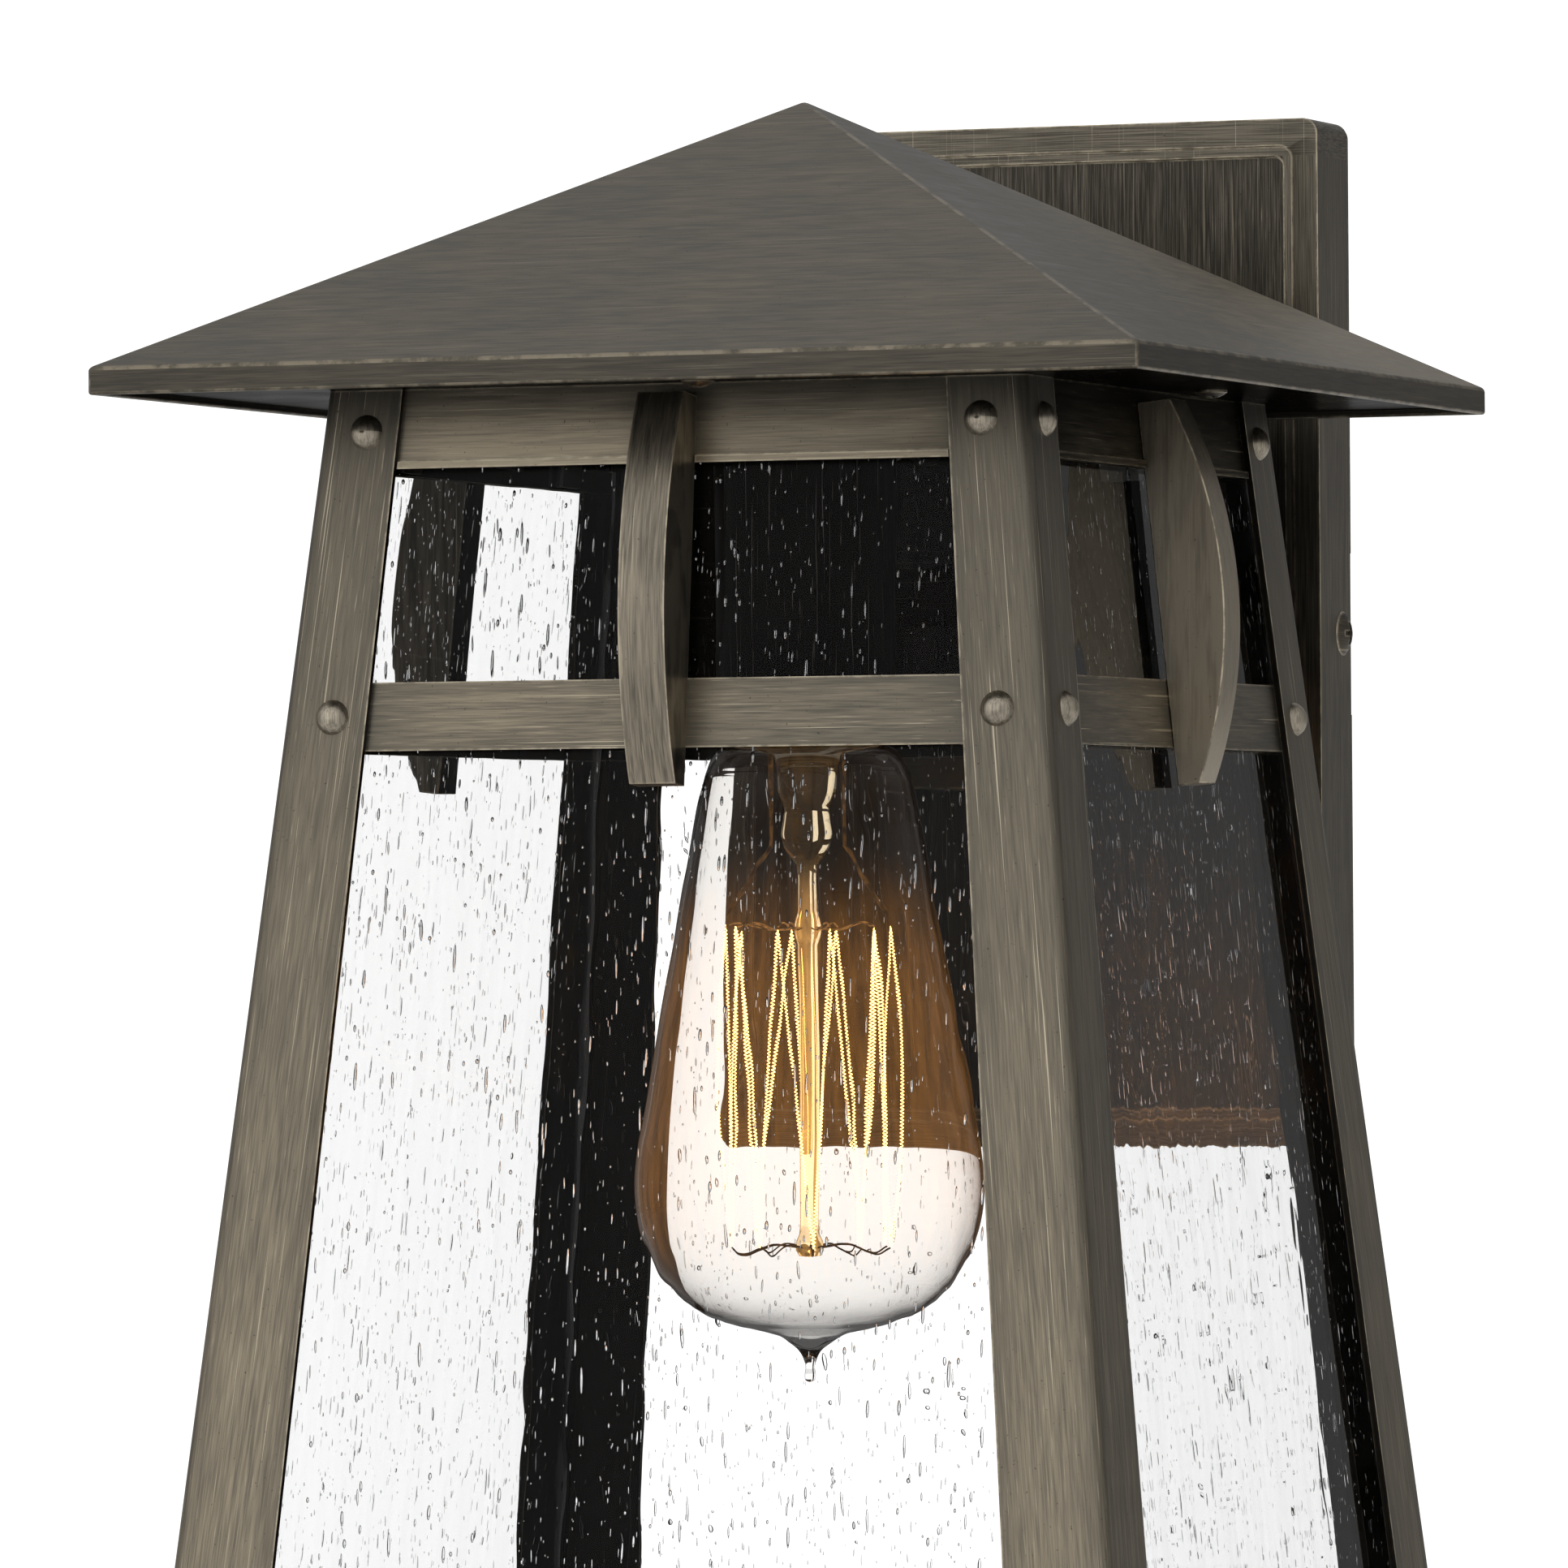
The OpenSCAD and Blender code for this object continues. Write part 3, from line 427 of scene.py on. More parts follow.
def dull_surface(name, colour, rough, freq=1200.0, depth=0.05, coat=0.0):
    """Plastic, rubber, foam or porcelain. depth is the grain's height in mm."""
    m, t = new_material(name)
    p = t.place()
    n = t.noise(p, freq, 4.0, 0.6)
    c = t.noise(p, 60.0, 3.0, 0.5)
    shade = tuple(v * 0.75 for v in colour[:3]) + (1.0,)
    s = principled(t)
    s.inputs["Coat Weight"].default_value = coat
    t.put(t.mix(c, shade, colour), s.inputs["Base Color"])
    t.put(t.math("MULTIPLY_ADD", n, 0.15, rough - 0.07), s.inputs["Roughness"])
    t.put(t.bump(n, depth * MM, 0.5), s.inputs["Normal"])
    t.finish(s.outputs[0])
    return m


def clear_glass(name, colour, ripple=0.0, ior=1.47, mirror=1.0, glow=0.0, reach=0.03,
                amber=rgb(1.0, 0.41, 0.07)):
    """Clear glass. mirror tints the reflection seen square on. glow is painted light, an emission
    that stands in for the filament's light caught by the glass, strongest beside the middle of the filament."""
    m, t = new_material(name)
    p = t.place()
    s = principled(t, Base_Color=colour, Roughness=0.0, IOR=ior, Transmission_Weight=1.0,
                   Specular_Tint=rgb(mirror, mirror, mirror))
    x, y, z = t.split(p)
    if ripple:
        wave = t.noise(t.scaled((x, y, z), 90.0, 90.0, 18.0), 1.0, 2.0, 0.4)
        t.put(t.bump(wave, ripple * MM, 0.35), s.inputs["Normal"])
    else:
        c = t.noise(p, 45.0, 2.0, 0.4)
        pale = tuple(min(1.0, v * 1.02) for v in colour[:3]) + (1.0,)
        t.put(t.mix(c, colour, pale), s.inputs["Base Color"])
    # painted light: the glass glows amber, most beside the filament's middle
    if glow:
        streak = t.noise(t.scaled((x, y, z), 620.0, 620.0, 34.0), 1.0, 3.0, 0.6)
        lit = t.math("MULTIPLY", filament_light(t, z, reach), t.ramp(streak, 0.42, 0.72, 0.45, 1.9))
        t.put(t.mix(lit, rgb(0, 0, 0), amber), s.inputs["Emission Color"])
        s.inputs["Emission Strength"].default_value = glow
    t.finish(s.outputs[0])
    return m


def glowing(name, core, strength):
    """The lit filament, a little uneven along its length."""
    m, t = new_material(name)
    p = t.place()
    n = t.noise(p, 320.0, 2.0, 0.5)
    s = principled(t, Roughness=0.6)
    t.put(t.mix(n, tuple(v * 0.8 for v in core[:3]) + (1.0,), core), s.inputs["Emission Color"])
    s.inputs["Base Color"].default_value = rgb(0.9, 0.55, 0.2)
    s.inputs["Emission Strength"].default_value = strength
    t.finish(s.outputs[0])
    return m


POST_SHEAR = {"front_right": (1, -1), "rear_right": (1, 1), "rear_left": (-1, 1), "front_left": (-1, -1)}
finish = {
    "roof": bronze("bronze_roof", "level", tone=0.13, contrast=0.26, wear=0.25, rough=0.42, skirt=0.34,
                   scratches=0.10, slopes=(-0.14, 0.34)),
    "header": bronze("bronze_header", "level", tone=0.80, contrast=0.50, wear=0.8, eave=0.62, fade=0.013,
                     light=rgb(0.42, 0.357, 0.262), painted_side_light=(1.25, 0.72),
                     ends=(0.042, 0.060, 0.62), inside=0.9),
    # painted shade: the rear and side bands have a darker copy of the header's bronze
    "header_shaded": bronze("bronze_header_shaded", "level", tone=0.16, contrast=0.30, wear=0.5, eave=0.3,
                          fade=0.013, dark=rgb(0.040, 0.036, 0.030), ends=(0.030, 0.052, 0.45), graze=0.5,
                          inside=0.9),
    "rail_mid": bronze("bronze_rail_mid", "level", tone=0.42, contrast=0.56, wear=0.8, scratches=0.7,
                       middle=(EAVE_Z - 0.05745, 0.0062), ends=(0.040, 0.060, 0.45), inside=0.9,
                       painted_side_light=(1.08, 0.72)),
    "rail_low": bronze("bronze_rail_low", "level", tone=0.42, contrast=0.56, wear=0.8, scratches=0.7,
                       middle=(EAVE_Z - 0.24885, 0.0062), ends=(0.058, 0.078, 0.45), inside=0.9),
    "arm": bronze("bronze_arm", "level", tone=0.3, contrast=0.35),
    "plate": bronze("bronze_plate", "up", tone=0.14, contrast=0.62, wear=1.0, fine=6200.0,
                    coarse=0.5, panel=(0.0549, 0.0909), rim=0.36, dark=rgb(0.048, 0.044, 0.037),
                    light=rgb(0.26, 0.23, 0.18)),
    "rivet": bronze("bronze_rivet", "up", tone=0.70, contrast=0.7, wear=0.2, rough=0.36,
                    light=rgb(0.50, 0.44, 0.35)),
    "soffit": bronze("bronze_soffit", "level", tone=0.10, contrast=0.10, wear=0.2, rough=0.30,
                     dark=rgb(0.014, 0.013, 0.012), light=rgb(0.06, 0.055, 0.046), graze=0.25),
    "cup": bronze("bronze_cup", "up", tone=0.05, contrast=0.05, wear=0.1, rough=0.42,
                  dark=rgb(0.020, 0.019, 0.017), light=rgb(0.05, 0.046, 0.04)),
    "screw": bronze("bronze_screw", "level", tone=0.1, contrast=0.2, wear=0.7, dark=rgb(0.05, 0.046, 0.04)),
    "edge": worn_edge("bronze_edge", rgb(0.15, 0.13, 0.10), rgb(0.66, 0.57, 0.42)),
    "edge_gold": worn_edge("bronze_edge_gold", rgb(0.34, 0.28, 0.19), rgb(0.86, 0.74, 0.53)),
    "edge_dull": worn_edge("bronze_edge_dull", rgb(0.085, 0.077, 0.062), rgb(0.26, 0.225, 0.17)),
    "zinc": plain_metal("zinc", rgb(0.62, 0.62, 0.60), 0.34),
    "green": plain_metal("green_zinc", rgb(0.10, 0.34, 0.15), 0.4),
    "brass": plain_metal("drawn_brass", rgb(0.80, 0.60, 0.28), 0.26),
    "tin": plain_metal("tin", rgb(0.66, 0.65, 0.64), 0.42),
    "foam": dull_surface("foam", rgb(0.025, 0.025, 0.025), 0.9, 1800.0, 0.2),
    "porcelain": dull_surface("porcelain", rgb(0.84, 0.82, 0.77), 0.3, 300.0, 0.02, 0.6),
    "black_glass": dull_surface("black_glass", rgb(0.02, 0.02, 0.022), 0.12, 300.0, 0.01, 0.5),
    "black": dull_surface("sleeve_black", rgb(0.025, 0.025, 0.025), 0.45),
    "white": dull_surface("sleeve_white", rgb(0.80, 0.79, 0.75), 0.45),
    "sleeve_green": dull_surface("sleeve_green", rgb(0.06, 0.30, 0.10), 0.45),
    "cap": dull_surface("cap_orange", rgb(0.78, 0.34, 0.05), 0.4),
    "pane": clear_glass("seeded_glass", rgb(0.98, 0.98, 0.98), ripple=0.35, ior=1.5, mirror=0.15),
    "bulb": clear_glass("bulb_glass", rgb(0.93, 0.918, 0.90), ior=1.46, mirror=0.6, glow=0.050),
    "stem": clear_glass("stem_glass", rgb(0.96, 0.80, 0.54), ior=1.5, glow=0.40, amber=rgb(1.0, 0.55, 0.17)),
    "wire": plain_metal("support_wire", rgb(0.16, 0.13, 0.10), 0.4, 0.38),
    "lead": plain_metal("lead_wire", rgb(0.14, 0.11, 0.08), 0.4, 0.12),
    "glow": glowing("filament_glow", rgb(1.0, 0.48, 0.13), 13.0),
}
for place, (sx, sy) in POST_SHEAR.items():
    finish["post_" + place] = bronze("bronze_post_" + place, "up", shear=(sx * FLARE, sy * FLARE),
                                     tone=0.54, contrast=0.62, wear=0.9, eave=0.36, fade=0.20,
                                     centre=(0.885, 0.115), scratches=0.65, inside=0.9, painted_side_light=(1.03, 0.88))


# straps: brushed along their bow; their tones differ as painted light and shade, the right strap lightest and
# the left darkest
for place, tone, weave in (("front", 0.44, (1.0, 0.12)), ("right", 0.98, (0.55, 1.0)),
                           ("left", 0.26, (0.55, 1.0))):
    # painted light: the front strap's side faces, its outer 0.4 mm, made up to 2.4 times brighter
    sides = (STRAP_HALF - 0.4 * MM, STRAP_HALF, 2.4) if place == "front" else None
    finish["strap_" + place] = bronze("bronze_strap_" + place, "up", tone=tone, contrast=0.6, wear=0.9,
                                      eave=0.85, painted_foot_light=(EAVE_Z - 0.050, EAVE_Z - 0.076, 1.5),
                                      light=rgb(0.40, 0.345, 0.265), ends=sides, inside=0.95, weave=weave,
                                      scratches=0.45)


# ---------------------------------------------------------------- mesh helpers
def link(obj):
    bpy.context.scene.collection.objects.link(obj)
    return obj


def mesh_object(name, verts, faces, material, smooth=True):
    me = bpy.data.meshes.new(name)
    me.from_pydata(verts, [], faces)
    me.materials.append(material)
    for p in me.polygons:
        p.use_smooth = smooth
    me.update()
    return link(bpy.data.objects.new(name, me))


def rounded_copy(node, name, material, width, segments=2, edge="edge"):
    """A copy of a CAD piece whose sharp edges are really rounded, and which stands for it."""
    me = nodes[node].data.copy()
    me.name = name
    bm = bmesh.new()
    bm.from_mesh(me)
    bmesh.ops.remove_doubles(bm, verts=bm.verts, dist=1e-6)
    bmesh.ops.dissolve_limit(bm, angle_limit=math.radians(0.4), use_dissolve_boundaries=False,
                             verts=bm.verts, edges=bm.edges)
    bmesh.ops.recalc_face_normals(bm, faces=bm.faces)
    bm.to_mesh(me)
    bm.free()
    me.materials.clear()
    me.materials.append(material)
    me.materials.append(finish[edge])
    obj = link(bpy.data.objects.new(name, me))
    for p in me.polygons:
        p.use_smooth = True
        p.material_index = 0
    me.set_sharp_from_angle(angle=math.radians(35))
    mod = obj.modifiers.new("edges", "BEVEL")
    mod.limit_method = "ANGLE"
    mod.angle_limit = math.radians(28.0)
    mod.width = width
    mod.segments = segments
    mod.harden_normals = True
    mod.material = 1
    mod.use_clamp_overlap = True
    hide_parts(node)
    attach(obj, ROOT)


def lathe(name, profile, material, steps=96, closed=True):
    """Turns (radius, height) points round the lantern's axis. Radii of 0 become single points."""
    verts, rings = [], []
    for r, z in profile:
        if r < 1e-7:
            rings.append([len(verts)])
            verts.append((AXIS.x, AXIS.y, z))
        else:
            rings.append(list(range(len(verts), len(verts) + steps)))
            for k in range(steps):
                a = 2 * math.pi * k / steps
                verts.append((AXIS.x + r * math.cos(a), AXIS.y + r * math.sin(a), z))
    faces = []
    pairs = list(zip(rings, rings[1:]))
    if closed:
        pairs.append((rings[-1], rings[0]))
    for a, b in pairs:
        if len(a) == 1 and len(b) == 1:
            continue
        for k in range(steps):
            n = (k + 1) % steps
            if len(a) == 1:
                faces.append((a[0], b[n], b[k]))
            elif len(b) == 1:
                faces.append((a[k], a[n], b[0]))
            else:
                faces.append((a[k], a[n], b[n], b[k]))
    obj = mesh_object(name, verts, faces, material)
    bm = bmesh.new()
    bm.from_mesh(obj.data)
    bmesh.ops.recalc_face_normals(bm, faces=bm.faces)
    bm.to_mesh(obj.data)
    bm.free()
    return obj


def tube(name, paths, radius, material, sides=8):
    """Closed round tubes along lists of points, all in one mesh."""
    verts, faces = [], []
    for path in paths:
        base = len(verts)
        prev = None
        for i, p in enumerate(path):
            p = Vector(p)
            ahead = Vector(path[min(i + 1, len(path) - 1)]) - Vector(path[max(i - 1, 0)])
            ahead.normalize()
            side = prev if prev is not None else ahead.orthogonal()
            side = (side - ahead * side.dot(ahead)).normalized()
            up = ahead.cross(side)
            prev = side
            for k in range(sides):
                a = 2 * math.pi * k / sides
                verts.append(p + (side * math.cos(a) + up * math.sin(a)) * radius)
        n = len(path)
        for i in range(n - 1):
            for k in range(sides):
                a, b = base + i * sides, base + (i + 1) * sides
                faces.append((a + k, a + (k + 1) % sides, b + (k + 1) % sides, b + k))
        faces.append(tuple(base + k for k in reversed(range(sides))))
        faces.append(tuple(base + (n - 1) * sides + k for k in range(sides)))
    return mesh_object(name, verts, faces, material)


def smooth_path(points, steps=8):
    """Catmull-Rom curve through the points."""
    pts = [Vector(p) for p in points]
    pts = [pts[0] * 2 - pts[1]] + pts + [pts[-1] * 2 - pts[-2]]
    out = []
    for i in range(1, len(pts) - 2):
        p0, p1, p2, p3 = pts[i - 1: i + 3]
        for s in range(steps):
            u = s / steps
            out.append(0.5 * ((2 * p1) + (p2 - p0) * u + (2 * p0 - 5 * p1 + 4 * p2 - p3) * u * u
                              + (3 * p1 - p0 - 3 * p2 + p3) * u ** 3))
    out.append(pts[-2])
    return out


# ---------------------------------------------------------------- metal pieces with rounded edges
rounded_copy("roof_shell", "roof", finish["roof"], 0.55 * MM, 3, "edge_dull")
rounded_copy("soffit_plate", "soffit", finish["soffit"], 0.2 * MM, 1, "edge_dull")
for place in POST_SHEAR:
    rounded_copy("post_" + place, "post_" + place + "_sheet", finish["post_" + place], 0.28 * MM)
for side in SIDES:
    # the rear and side bands take the darker copy of the header's bronze, painted shade
    key = "header" if side == "front" else "header_shaded"
    rounded_copy("header_" + side, "header_" + side + "_band", finish[key], 0.22 * MM)
    for rail, key in (("mid_rail_", "rail_mid"), ("bottom_rail_", "rail_low")):
        rounded_copy(rail + side, rail + side + "_bar", finish[key], 0.3 * MM)
for side in ("front", "right", "left"):
    node = "strap_" + side
    rounded_copy(node, node + "_bow", finish[node], 0.5 * MM, 3)
rounded_copy("arm_box", "arm", finish["arm"], 0.4 * MM)
rounded_copy("back_plate", "wall_plate", finish["plate"], 0.45 * MM, 3, "edge_gold")
for node, key in (
    ("frame_rivets", "rivet"), ("socket_cup", "cup"), ("side_screws", "screw"),
    ("roof_standoffs", "zinc"), ("soffit_screws", "screw"), ("header_screws", "zinc"), ("header_nuts", "zinc"),
    ("strap_screws", "zinc"), ("glass_clips", "zinc"), ("arm_screws", "zinc"), ("arm_nuts", "zinc"),
    ("mounting_bracket", "zinc"), ("socket_nipple", "zinc"), ("nipple_nut", "zinc"), ("ground_screw", "green"),
    ("wall_gasket", "foam"), ("wire_grommet", "foam"), ("socket_body", "porcelain"),
    ("socket_shell", "brass"), ("socket_contact", "brass"), ("bulb_base", "brass"), ("bulb_contact", "tin"),
    ("bulb_insulator", "black_glass"), ("wire_connectors", "cap"),
    ("wire_hot", "black"), ("wire_neutral", "white"), ("wire_ground", "sleeve_green"),
    ("bulb_leads", "lead"), ("bulb_supports", "wire"),
):
    slots = nodes[node].data.materials
    if not slots:
        slots.append(None)
    for k in range(len(slots)):
        slots[k] = finish[key]


# ---------------------------------------------------------------- seeded panes
SEED_COUNT = 3600       # air seeds in each pane


def pane(side, turn, seed):
    """A pane with drawn air seeds inside the glass, each one a closed hollow in the same mesh."""
    rnd = random.Random(seed)
    node = nodes["pane_" + side]
    bm = bmesh.new()
    bm.from_mesh(node.data)
    bmesh.ops.remove_doubles(bm, verts=bm.verts, dist=1e-6)
    bmesh.ops.dissolve_limit(bm, angle_limit=math.radians(0.4), use_dissolve_boundaries=False,
                             verts=bm.verts, edges=bm.edges)
    bmesh.ops.recalc_face_normals(bm, faces=bm.faces)
    depth = (POST_T + RAIL_T) / math.cos(LEAN) + 0.25 * MM + GLASS_T / 2 / math.cos(LEAN)
    spin = Matrix.Rotation(turn, 4, "Z")
    top, low = 0.0105, 0.2515
    for _ in range(SEED_COUNT):
        drop = top + (low - top) * rnd.random()
        wide = half(drop) - depth - 2.5 * MM
        x = rnd.uniform(-wide, wide)
        size = rnd.random() ** 5
        rx = (0.10 + 0.26 * size) * MM
        length = min(rx * (1.3 + 7.5 * rnd.random() ** 1.7), 2.6 * MM)
        ry = rx * 0.8
        off = rnd.uniform(-1, 1) * (GLASS_T / 2 - ry - 0.25 * MM)
        centre = Vector((x, -(half(drop) - depth) + off, EAVE_Z - drop))
        rings, around = (5, 8) if size > 0.25 else (4, 6)
        tilt = Matrix.Rotation(-LEAN, 4, "X") @ Matrix.Rotation(rnd.uniform(-0.05, 0.05), 4, "Y")
        loops = []
        for i in range(1, rings):
            a = math.pi * i / rings
            loop = []
            for k in range(around):
                b = 2 * math.pi * k / around
                v = Vector((rx * math.sin(a) * math.cos(b), ry * math.sin(a) * math.sin(b),
                            length * math.cos(a)))
                loop.append(bm.verts.new(tilt @ v + centre))
            loops.append(loop)
        ends = [bm.verts.new(tilt @ Vector((0, 0, s * length)) + centre) for s in (1, -1)]
        for k in range(around):
            n = (k + 1) % around
            # wound so that the faces look into the hollow
            bm.faces.new((ends[0], loops[0][n], loops[0][k]))
            bm.faces.new((ends[1], loops[-1][k], loops[-1][n]))
            for i in range(len(loops) - 1):
                bm.faces.new((loops[i][k], loops[i][n], loops[i + 1][n], loops[i + 1][k]))
        seed_verts = [v for loop in loops for v in loop] + ends
        for v in seed_verts:
            v.co = spin @ v.co + Vector((0, -REACH, 0))
    me = bpy.data.meshes.new("glass_" + side)
    bm.to_mesh(me)
    bm.free()
    me.materials.append(finish["pane"])
    for p in me.polygons:
        p.use_smooth = p.area < 3e-6
        p.material_index = 0
    obj = link(bpy.data.objects.new("glass_" + side, me))
    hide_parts("pane_" + side)
    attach(obj, ROOT)


for k, side in enumerate(SIDES):
    pane(side, math.pi / 2 * k, 40 + k)


# ---------------------------------------------------------------- the lamp
# envelope: (radius, drop below the roof's lower edge) in mm
OUTLINE = [(11.9, 56.8), (11.9, 61.4), (13.4, 61.9), (15.9, 63.0), (17.4, 64.6), (18.5, 66.6), (19.45, 69.4),
           (21.7, 80.5), (24.0, 94.0), (25.7, 103.8), (27.9, 116.1), (30.0, 128.5), (31.3, 135.9),
           (31.95, 142.2), (31.5, 148.2), (29.8, 154.4), (26.6, 160.2), (21.6, 164.9), (15.5, 167.8),
           (9.5, 169.3), (5.6, 170.4), (3.3, 171.9), (1.9, 173.4), (1.15, 175.0), (0.95, 176.2), (1.15, 177.4),
           (0.95, 178.4), (0.0, 178.8)]
WALL = 0.7              # the envelope's wall, in mm


def curve(points, steps):
    return [(p.x, p.y) for p in smooth_path([(r, d, 0) for r, d in points], steps)]


def inset(points, wall):
    """The outline moved inwards by the wall."""
    out = []
    for k, (r, d) in enumerate(points):
        a, b = points[max(k - 1, 0)], points[min(k + 1, len(points) - 1)]
        along = Vector((b[0] - a[0], b[1] - a[1])).normalized()
        out.append((r - along.y * wall, d + along.x * wall))
    return out


outer = curve(OUTLINE, 4)
inner = inset([p for p in outer if p[1] < 170.3], WALL) + [(3.0, 170.5), (1.3, 171.6), (0.0, 172.2)]
section = [(max(r, 0) * MM, EAVE_Z - d * MM) for r, d in outer + inner[::-1]]
bulb = lathe("bulb_envelope", section, finish["bulb"], 128)
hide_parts("bulb_glass")
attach(bulb, LAMP)

# flared mount, pinch, exhaust stub and centre rod
z0 = EAVE_Z - NECK
rod_low = EAVE_Z - RING_LOW - 0.0022
ring_z = EAVE_Z - RING_TOP
stem_profile = [(0.0, z0 - 0.0003), (0.0105, z0 + 0.0004), (0.0108, z0 - 0.0004), (0.0088, z0 - 0.0016),
                (0.0063, z0 - 0.0032), (0.0057, z0 - 0.0065), (0.0055, z0 - 0.0100), (0.0046, z0 - 0.0118),
                (0.0040, z0 - 0.0135), (0.0043, z0 - 0.0155), (0.0046, z0 - 0.0178), (0.0041, z0 - 0.0203),
                (0.0029, z0 - 0.0222), (0.0021, z0 - 0.0235), (0.0018, z0 - 0.0260),
                (0.0018, ring_z + 0.003), (0.0023, ring_z + 0.0018), (0.0026, ring_z),
                (0.0024, ring_z - 0.0018), (0.0019, ring_z - 0.003),
                (0.0017, rod_low + 0.006), (0.0019, rod_low + 0.0042), (0.0025, rod_low + 0.0030),
                (0.0026, rod_low + 0.0012), (0.0019, rod_low + 0.0002), (0.0, rod_low)]
stem = lathe("stem", stem_profile, finish["stem"], 40, closed=False)
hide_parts("bulb_stem")
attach(stem, LAMP)


def ring_point(k, drop, radius=RING_R):
    """Point on a support level. The lower hooks stand a little round from midway between the upper ones."""
    a = math.radians(18 + (k + (0.3 if drop > TIP - 0.050 else 0.0)) * 360 / STRANDS)
    return Vector((radius * math.cos(a), -REACH + radius * math.sin(a), EAVE_Z - drop))


# coiled filament: one fine helix that runs up and down round the cage, sagging a little unevenly
rnd = random.Random(11)
corners = []
for k in range(STRANDS + 1):
    drop = RING_TOP if k % 2 == 0 else RING_LOW
    corners.append(ring_point(k + rnd.uniform(-0.22, 0.22), drop + rnd.uniform(-0.0006, 0.0006)))
COIL_R, COIL_PITCH, COIL_STEPS = 0.00024, 0.00066, 8
coil, phase = [], 0.0
for a, b in zip(corners, corners[1:]):
    run = b - a
    along = run.normalized()
    side = along.cross(Vector((0, 0, 1))).normalized()
    up = side.cross(along)
    outward = Vector((a.x + b.x, a.y + b.y + 2 * REACH, 0)).normalized()
    bow = outward * rnd.uniform(0.0, 0.0016) + side * rnd.uniform(-0.0012, 0.0012)
    steps = int(run.length / COIL_PITCH * COIL_STEPS)   # points along this strand
    for s in range(steps):
        u = s / steps
        phase += 2 * math.pi / COIL_STEPS
        r = COIL_R * min(1.0, 0.3 + min(u, 1 - u) * run.length / 0.0015)
        turn = side * (r * math.cos(phase)) + up * (r * math.sin(phase))
        coil.append(a + run * u + bow * math.sin(math.pi * u) + turn)
filament = tube("filament_coil", [coil], 0.000080, finish["glow"], 4)
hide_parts("bulb_filament")
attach(filament, LAMP)
# the lamp's light isn't thrown on the bronze or mirrored in it: in daylight it would hardly show
filament.visible_diffuse = False
for piece in (bulb, stem, filament):
    piece.visible_glossy = False

# hooked support wires at both levels
hooks = []
for k in range(1, STRANDS):
    drop = RING_TOP if k % 2 == 0 else RING_LOW + 0.0005
    far = ring_point(k, RING_TOP - 0.0002 if k % 2 == 0 else RING_LOW + 0.0004)
    near = ring_point(k, drop, 0.0019)
    dip = 0.0012 if k % 2 else -0.0008
    hooks.append(smooth_path([near, near.lerp(far, 0.4) + Vector((0, 0, dip * 0.5)),
                              near.lerp(far, 0.8) + Vector((0, 0, -dip)), far], 5))
supports = tube("support_hooks", hooks, 0.00016, finish["wire"], 6)
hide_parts("bulb_supports")
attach(supports, LAMP)

# ---------------------------------------------------------------- camera
AZIMUTH = math.radians(21.09)
DISTANCE = 2.0396
SIDESTEP = 0.0045        # the axis stands a little to the right of the middle
BELOW_EAVE = 0.09505
look = Vector((-math.sin(AZIMUTH), math.cos(AZIMUTH), 0))
right = Vector((math.cos(AZIMUTH), math.sin(AZIMUTH), 0))
data = bpy.data.cameras.new("camera")
data.sensor_width = 36.0
data.lens = 255.95
data.clip_start, data.clip_end = 0.05, 100
camera = link(bpy.data.objects.new("camera", data))
camera.location = Vector((0, -REACH, EAVE_Z - BELOW_EAVE)) - look * DISTANCE - right * SIDESTEP
PITCH_UP = math.radians(0.723)
ROLL = -0.0065
camera.rotation_mode = "QUATERNION"
turned = Matrix.Rotation(AZIMUTH, 4, "Z") @ Matrix.Rotation(math.pi / 2 + PITCH_UP, 4, "X")
camera.rotation_quaternion = (turned @ Matrix.Rotation(ROLL, 4, "Z")).to_quaternion()
bpy.context.scene.camera = camera

# ---------------------------------------------------------------- studio: pale floor, soft light
world = bpy.data.worlds.new("studio")
bpy.context.scene.world = world
world.use_nodes = True
t = Tree(world.node_tree)
direction = t.add("ShaderNodeTexCoord").outputs["Generated"]


def blob(azimuth, elevation, inner, outer, amount):
    """Soft patch of light or shade centred on a direction. Azimuth runs from +Y towards +X."""
    a, e = math.radians(azimuth), math.radians(elevation)
    v = (math.sin(a) * math.cos(e), math.cos(a) * math.cos(e), math.sin(e))
    d = t.vec("DOT_PRODUCT", direction, v)
    return t.ramp(d, math.cos(math.radians(outer)), math.cos(math.radians(inner)), 0.0, amount)


level = t.math("ADD", 0.40, blob(-152, 22, 12, 68, 0.50))      # key, at the camera's left
level = t.math("ADD", level, blob(-45, 58, 10, 45, 0.14))       # top light behind the left shoulder
level = t.math("ADD", level, blob(0, 90, 10, 50, 0.25))         # overhead
level = t.math("ADD", level, blob(150, 15, 10, 60, 0.25))       # fill from the rear right
level = t.math("ADD", level, blob(25, 0, 12, 50, -0.20))        # dark flag where the right side looks
# the backdrop is plain white to the camera, straight or through clear glass; light that gets inside
# the lantern is dimmed, as it would be by the studio's own dark side


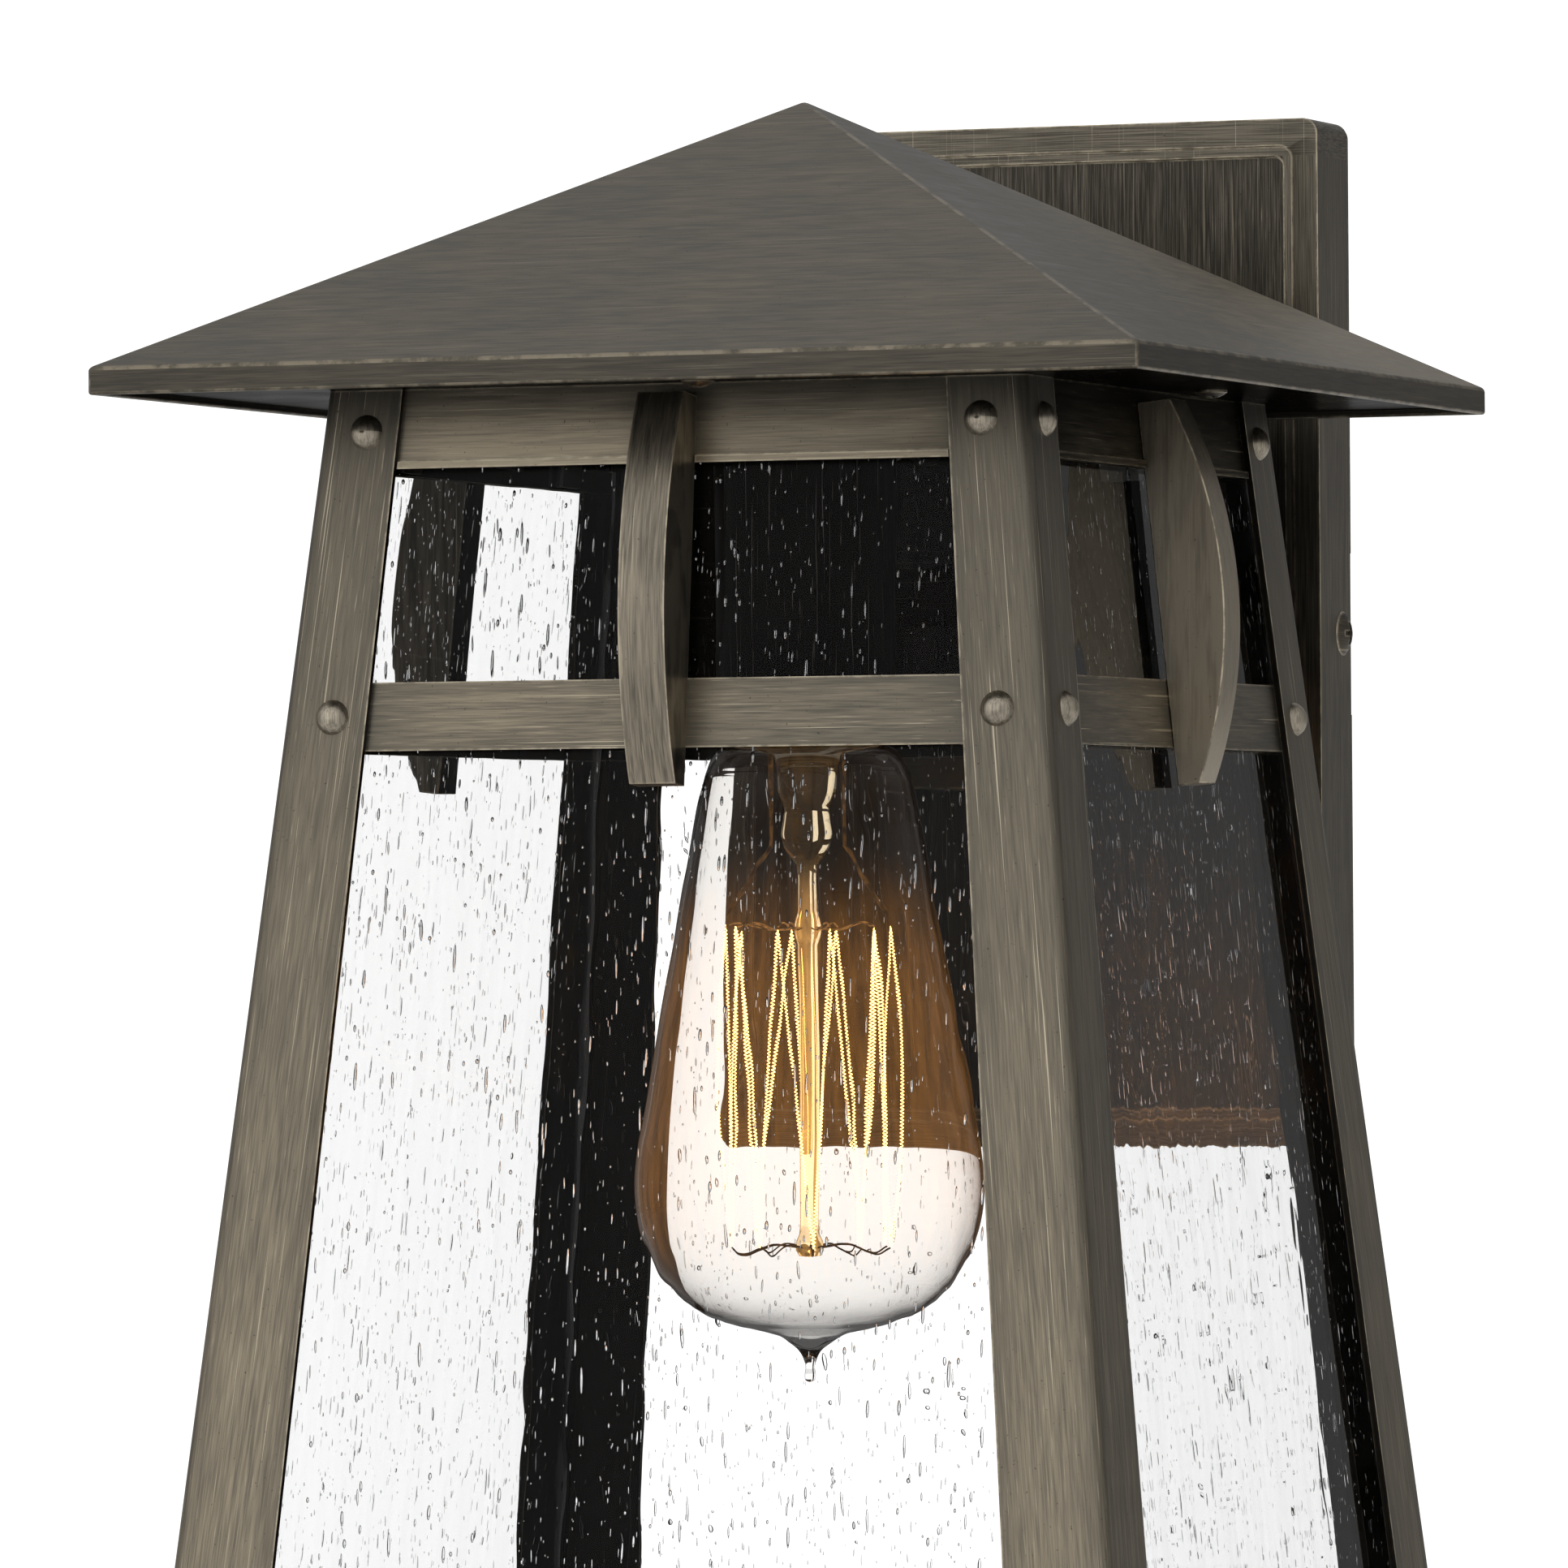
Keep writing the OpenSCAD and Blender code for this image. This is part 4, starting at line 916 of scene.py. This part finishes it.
def bounced_rays(t):
    """The light path, and 1 for light that has bounced off a surface, 0 for what is seen directly."""
    path = t.add("ShaderNodeLightPath").outputs
    return path, t.math("MINIMUM", t.math("ADD", path["Glossy Depth"], path["Diffuse Depth"]), 1.0)


path, bounced = bounced_rays(t)
inside = t.math("MINIMUM", t.math("MULTIPLY", path["Transmission Depth"], path["Glossy Depth"]), 1.0)
level = t.math("MULTIPLY", level, t.math("MULTIPLY_ADD", inside, -0.85, 1.0))
BACKDROP = 1.22          # a little over white, so that it stays white through two panes
direct = t.math("SUBTRACT", 1.0, bounced)
strength = t.math("ADD", t.math("MULTIPLY", level, bounced), t.math("MULTIPLY", direct, BACKDROP))
background = t.add("ShaderNodeBackground")
background.inputs["Color"].default_value = rgb(1, 1, 1)
t.put(strength, background.inputs["Strength"])
out = t.add("ShaderNodeOutputWorld")
t.t.links.new(background.outputs[0], out.inputs["Surface"])

floor_material, t = new_material("floor_pale")
s = principled(t, Roughness=0.85, Specular_IOR_Level=0.0)
n = t.noise(t.place(), 6.0, 3.0, 0.5)
t.put(t.mix(n, rgb(0.86, 0.86, 0.86), rgb(0.90, 0.90, 0.90)), s.inputs["Base Color"])
s.inputs["Emission Color"].default_value = rgb(1, 1, 1)
direct = t.math("SUBTRACT", 1.0, bounced_rays(t)[1])
t.put(t.math("MULTIPLY", direct, 0.32), s.inputs["Emission Strength"])
t.finish(s.outputs[0])
FLOOR_Z = -2.2           # such a lantern hangs a little above head height
FLOOR_R = 14.0
FLOOR_SIDES = 96
corners = [2 * math.pi * k / FLOOR_SIDES for k in range(FLOOR_SIDES)]
verts = [(FLOOR_R * math.cos(a), FLOOR_R * math.sin(a), FLOOR_Z) for a in corners]
floor = mesh_object("floor", verts, [tuple(range(FLOOR_SIDES))], floor_material, smooth=False)

scene = bpy.context.scene
scene.view_settings.view_transform = "Standard"
scene.view_settings.look = "None"
scene.cycles.max_bounces = 28
scene.cycles.transmission_bounces = 28
scene.cycles.glossy_bounces = 8
scene.cycles.diffuse_bounces = 4
scene.cycles.sample_clamp_indirect = 4.0
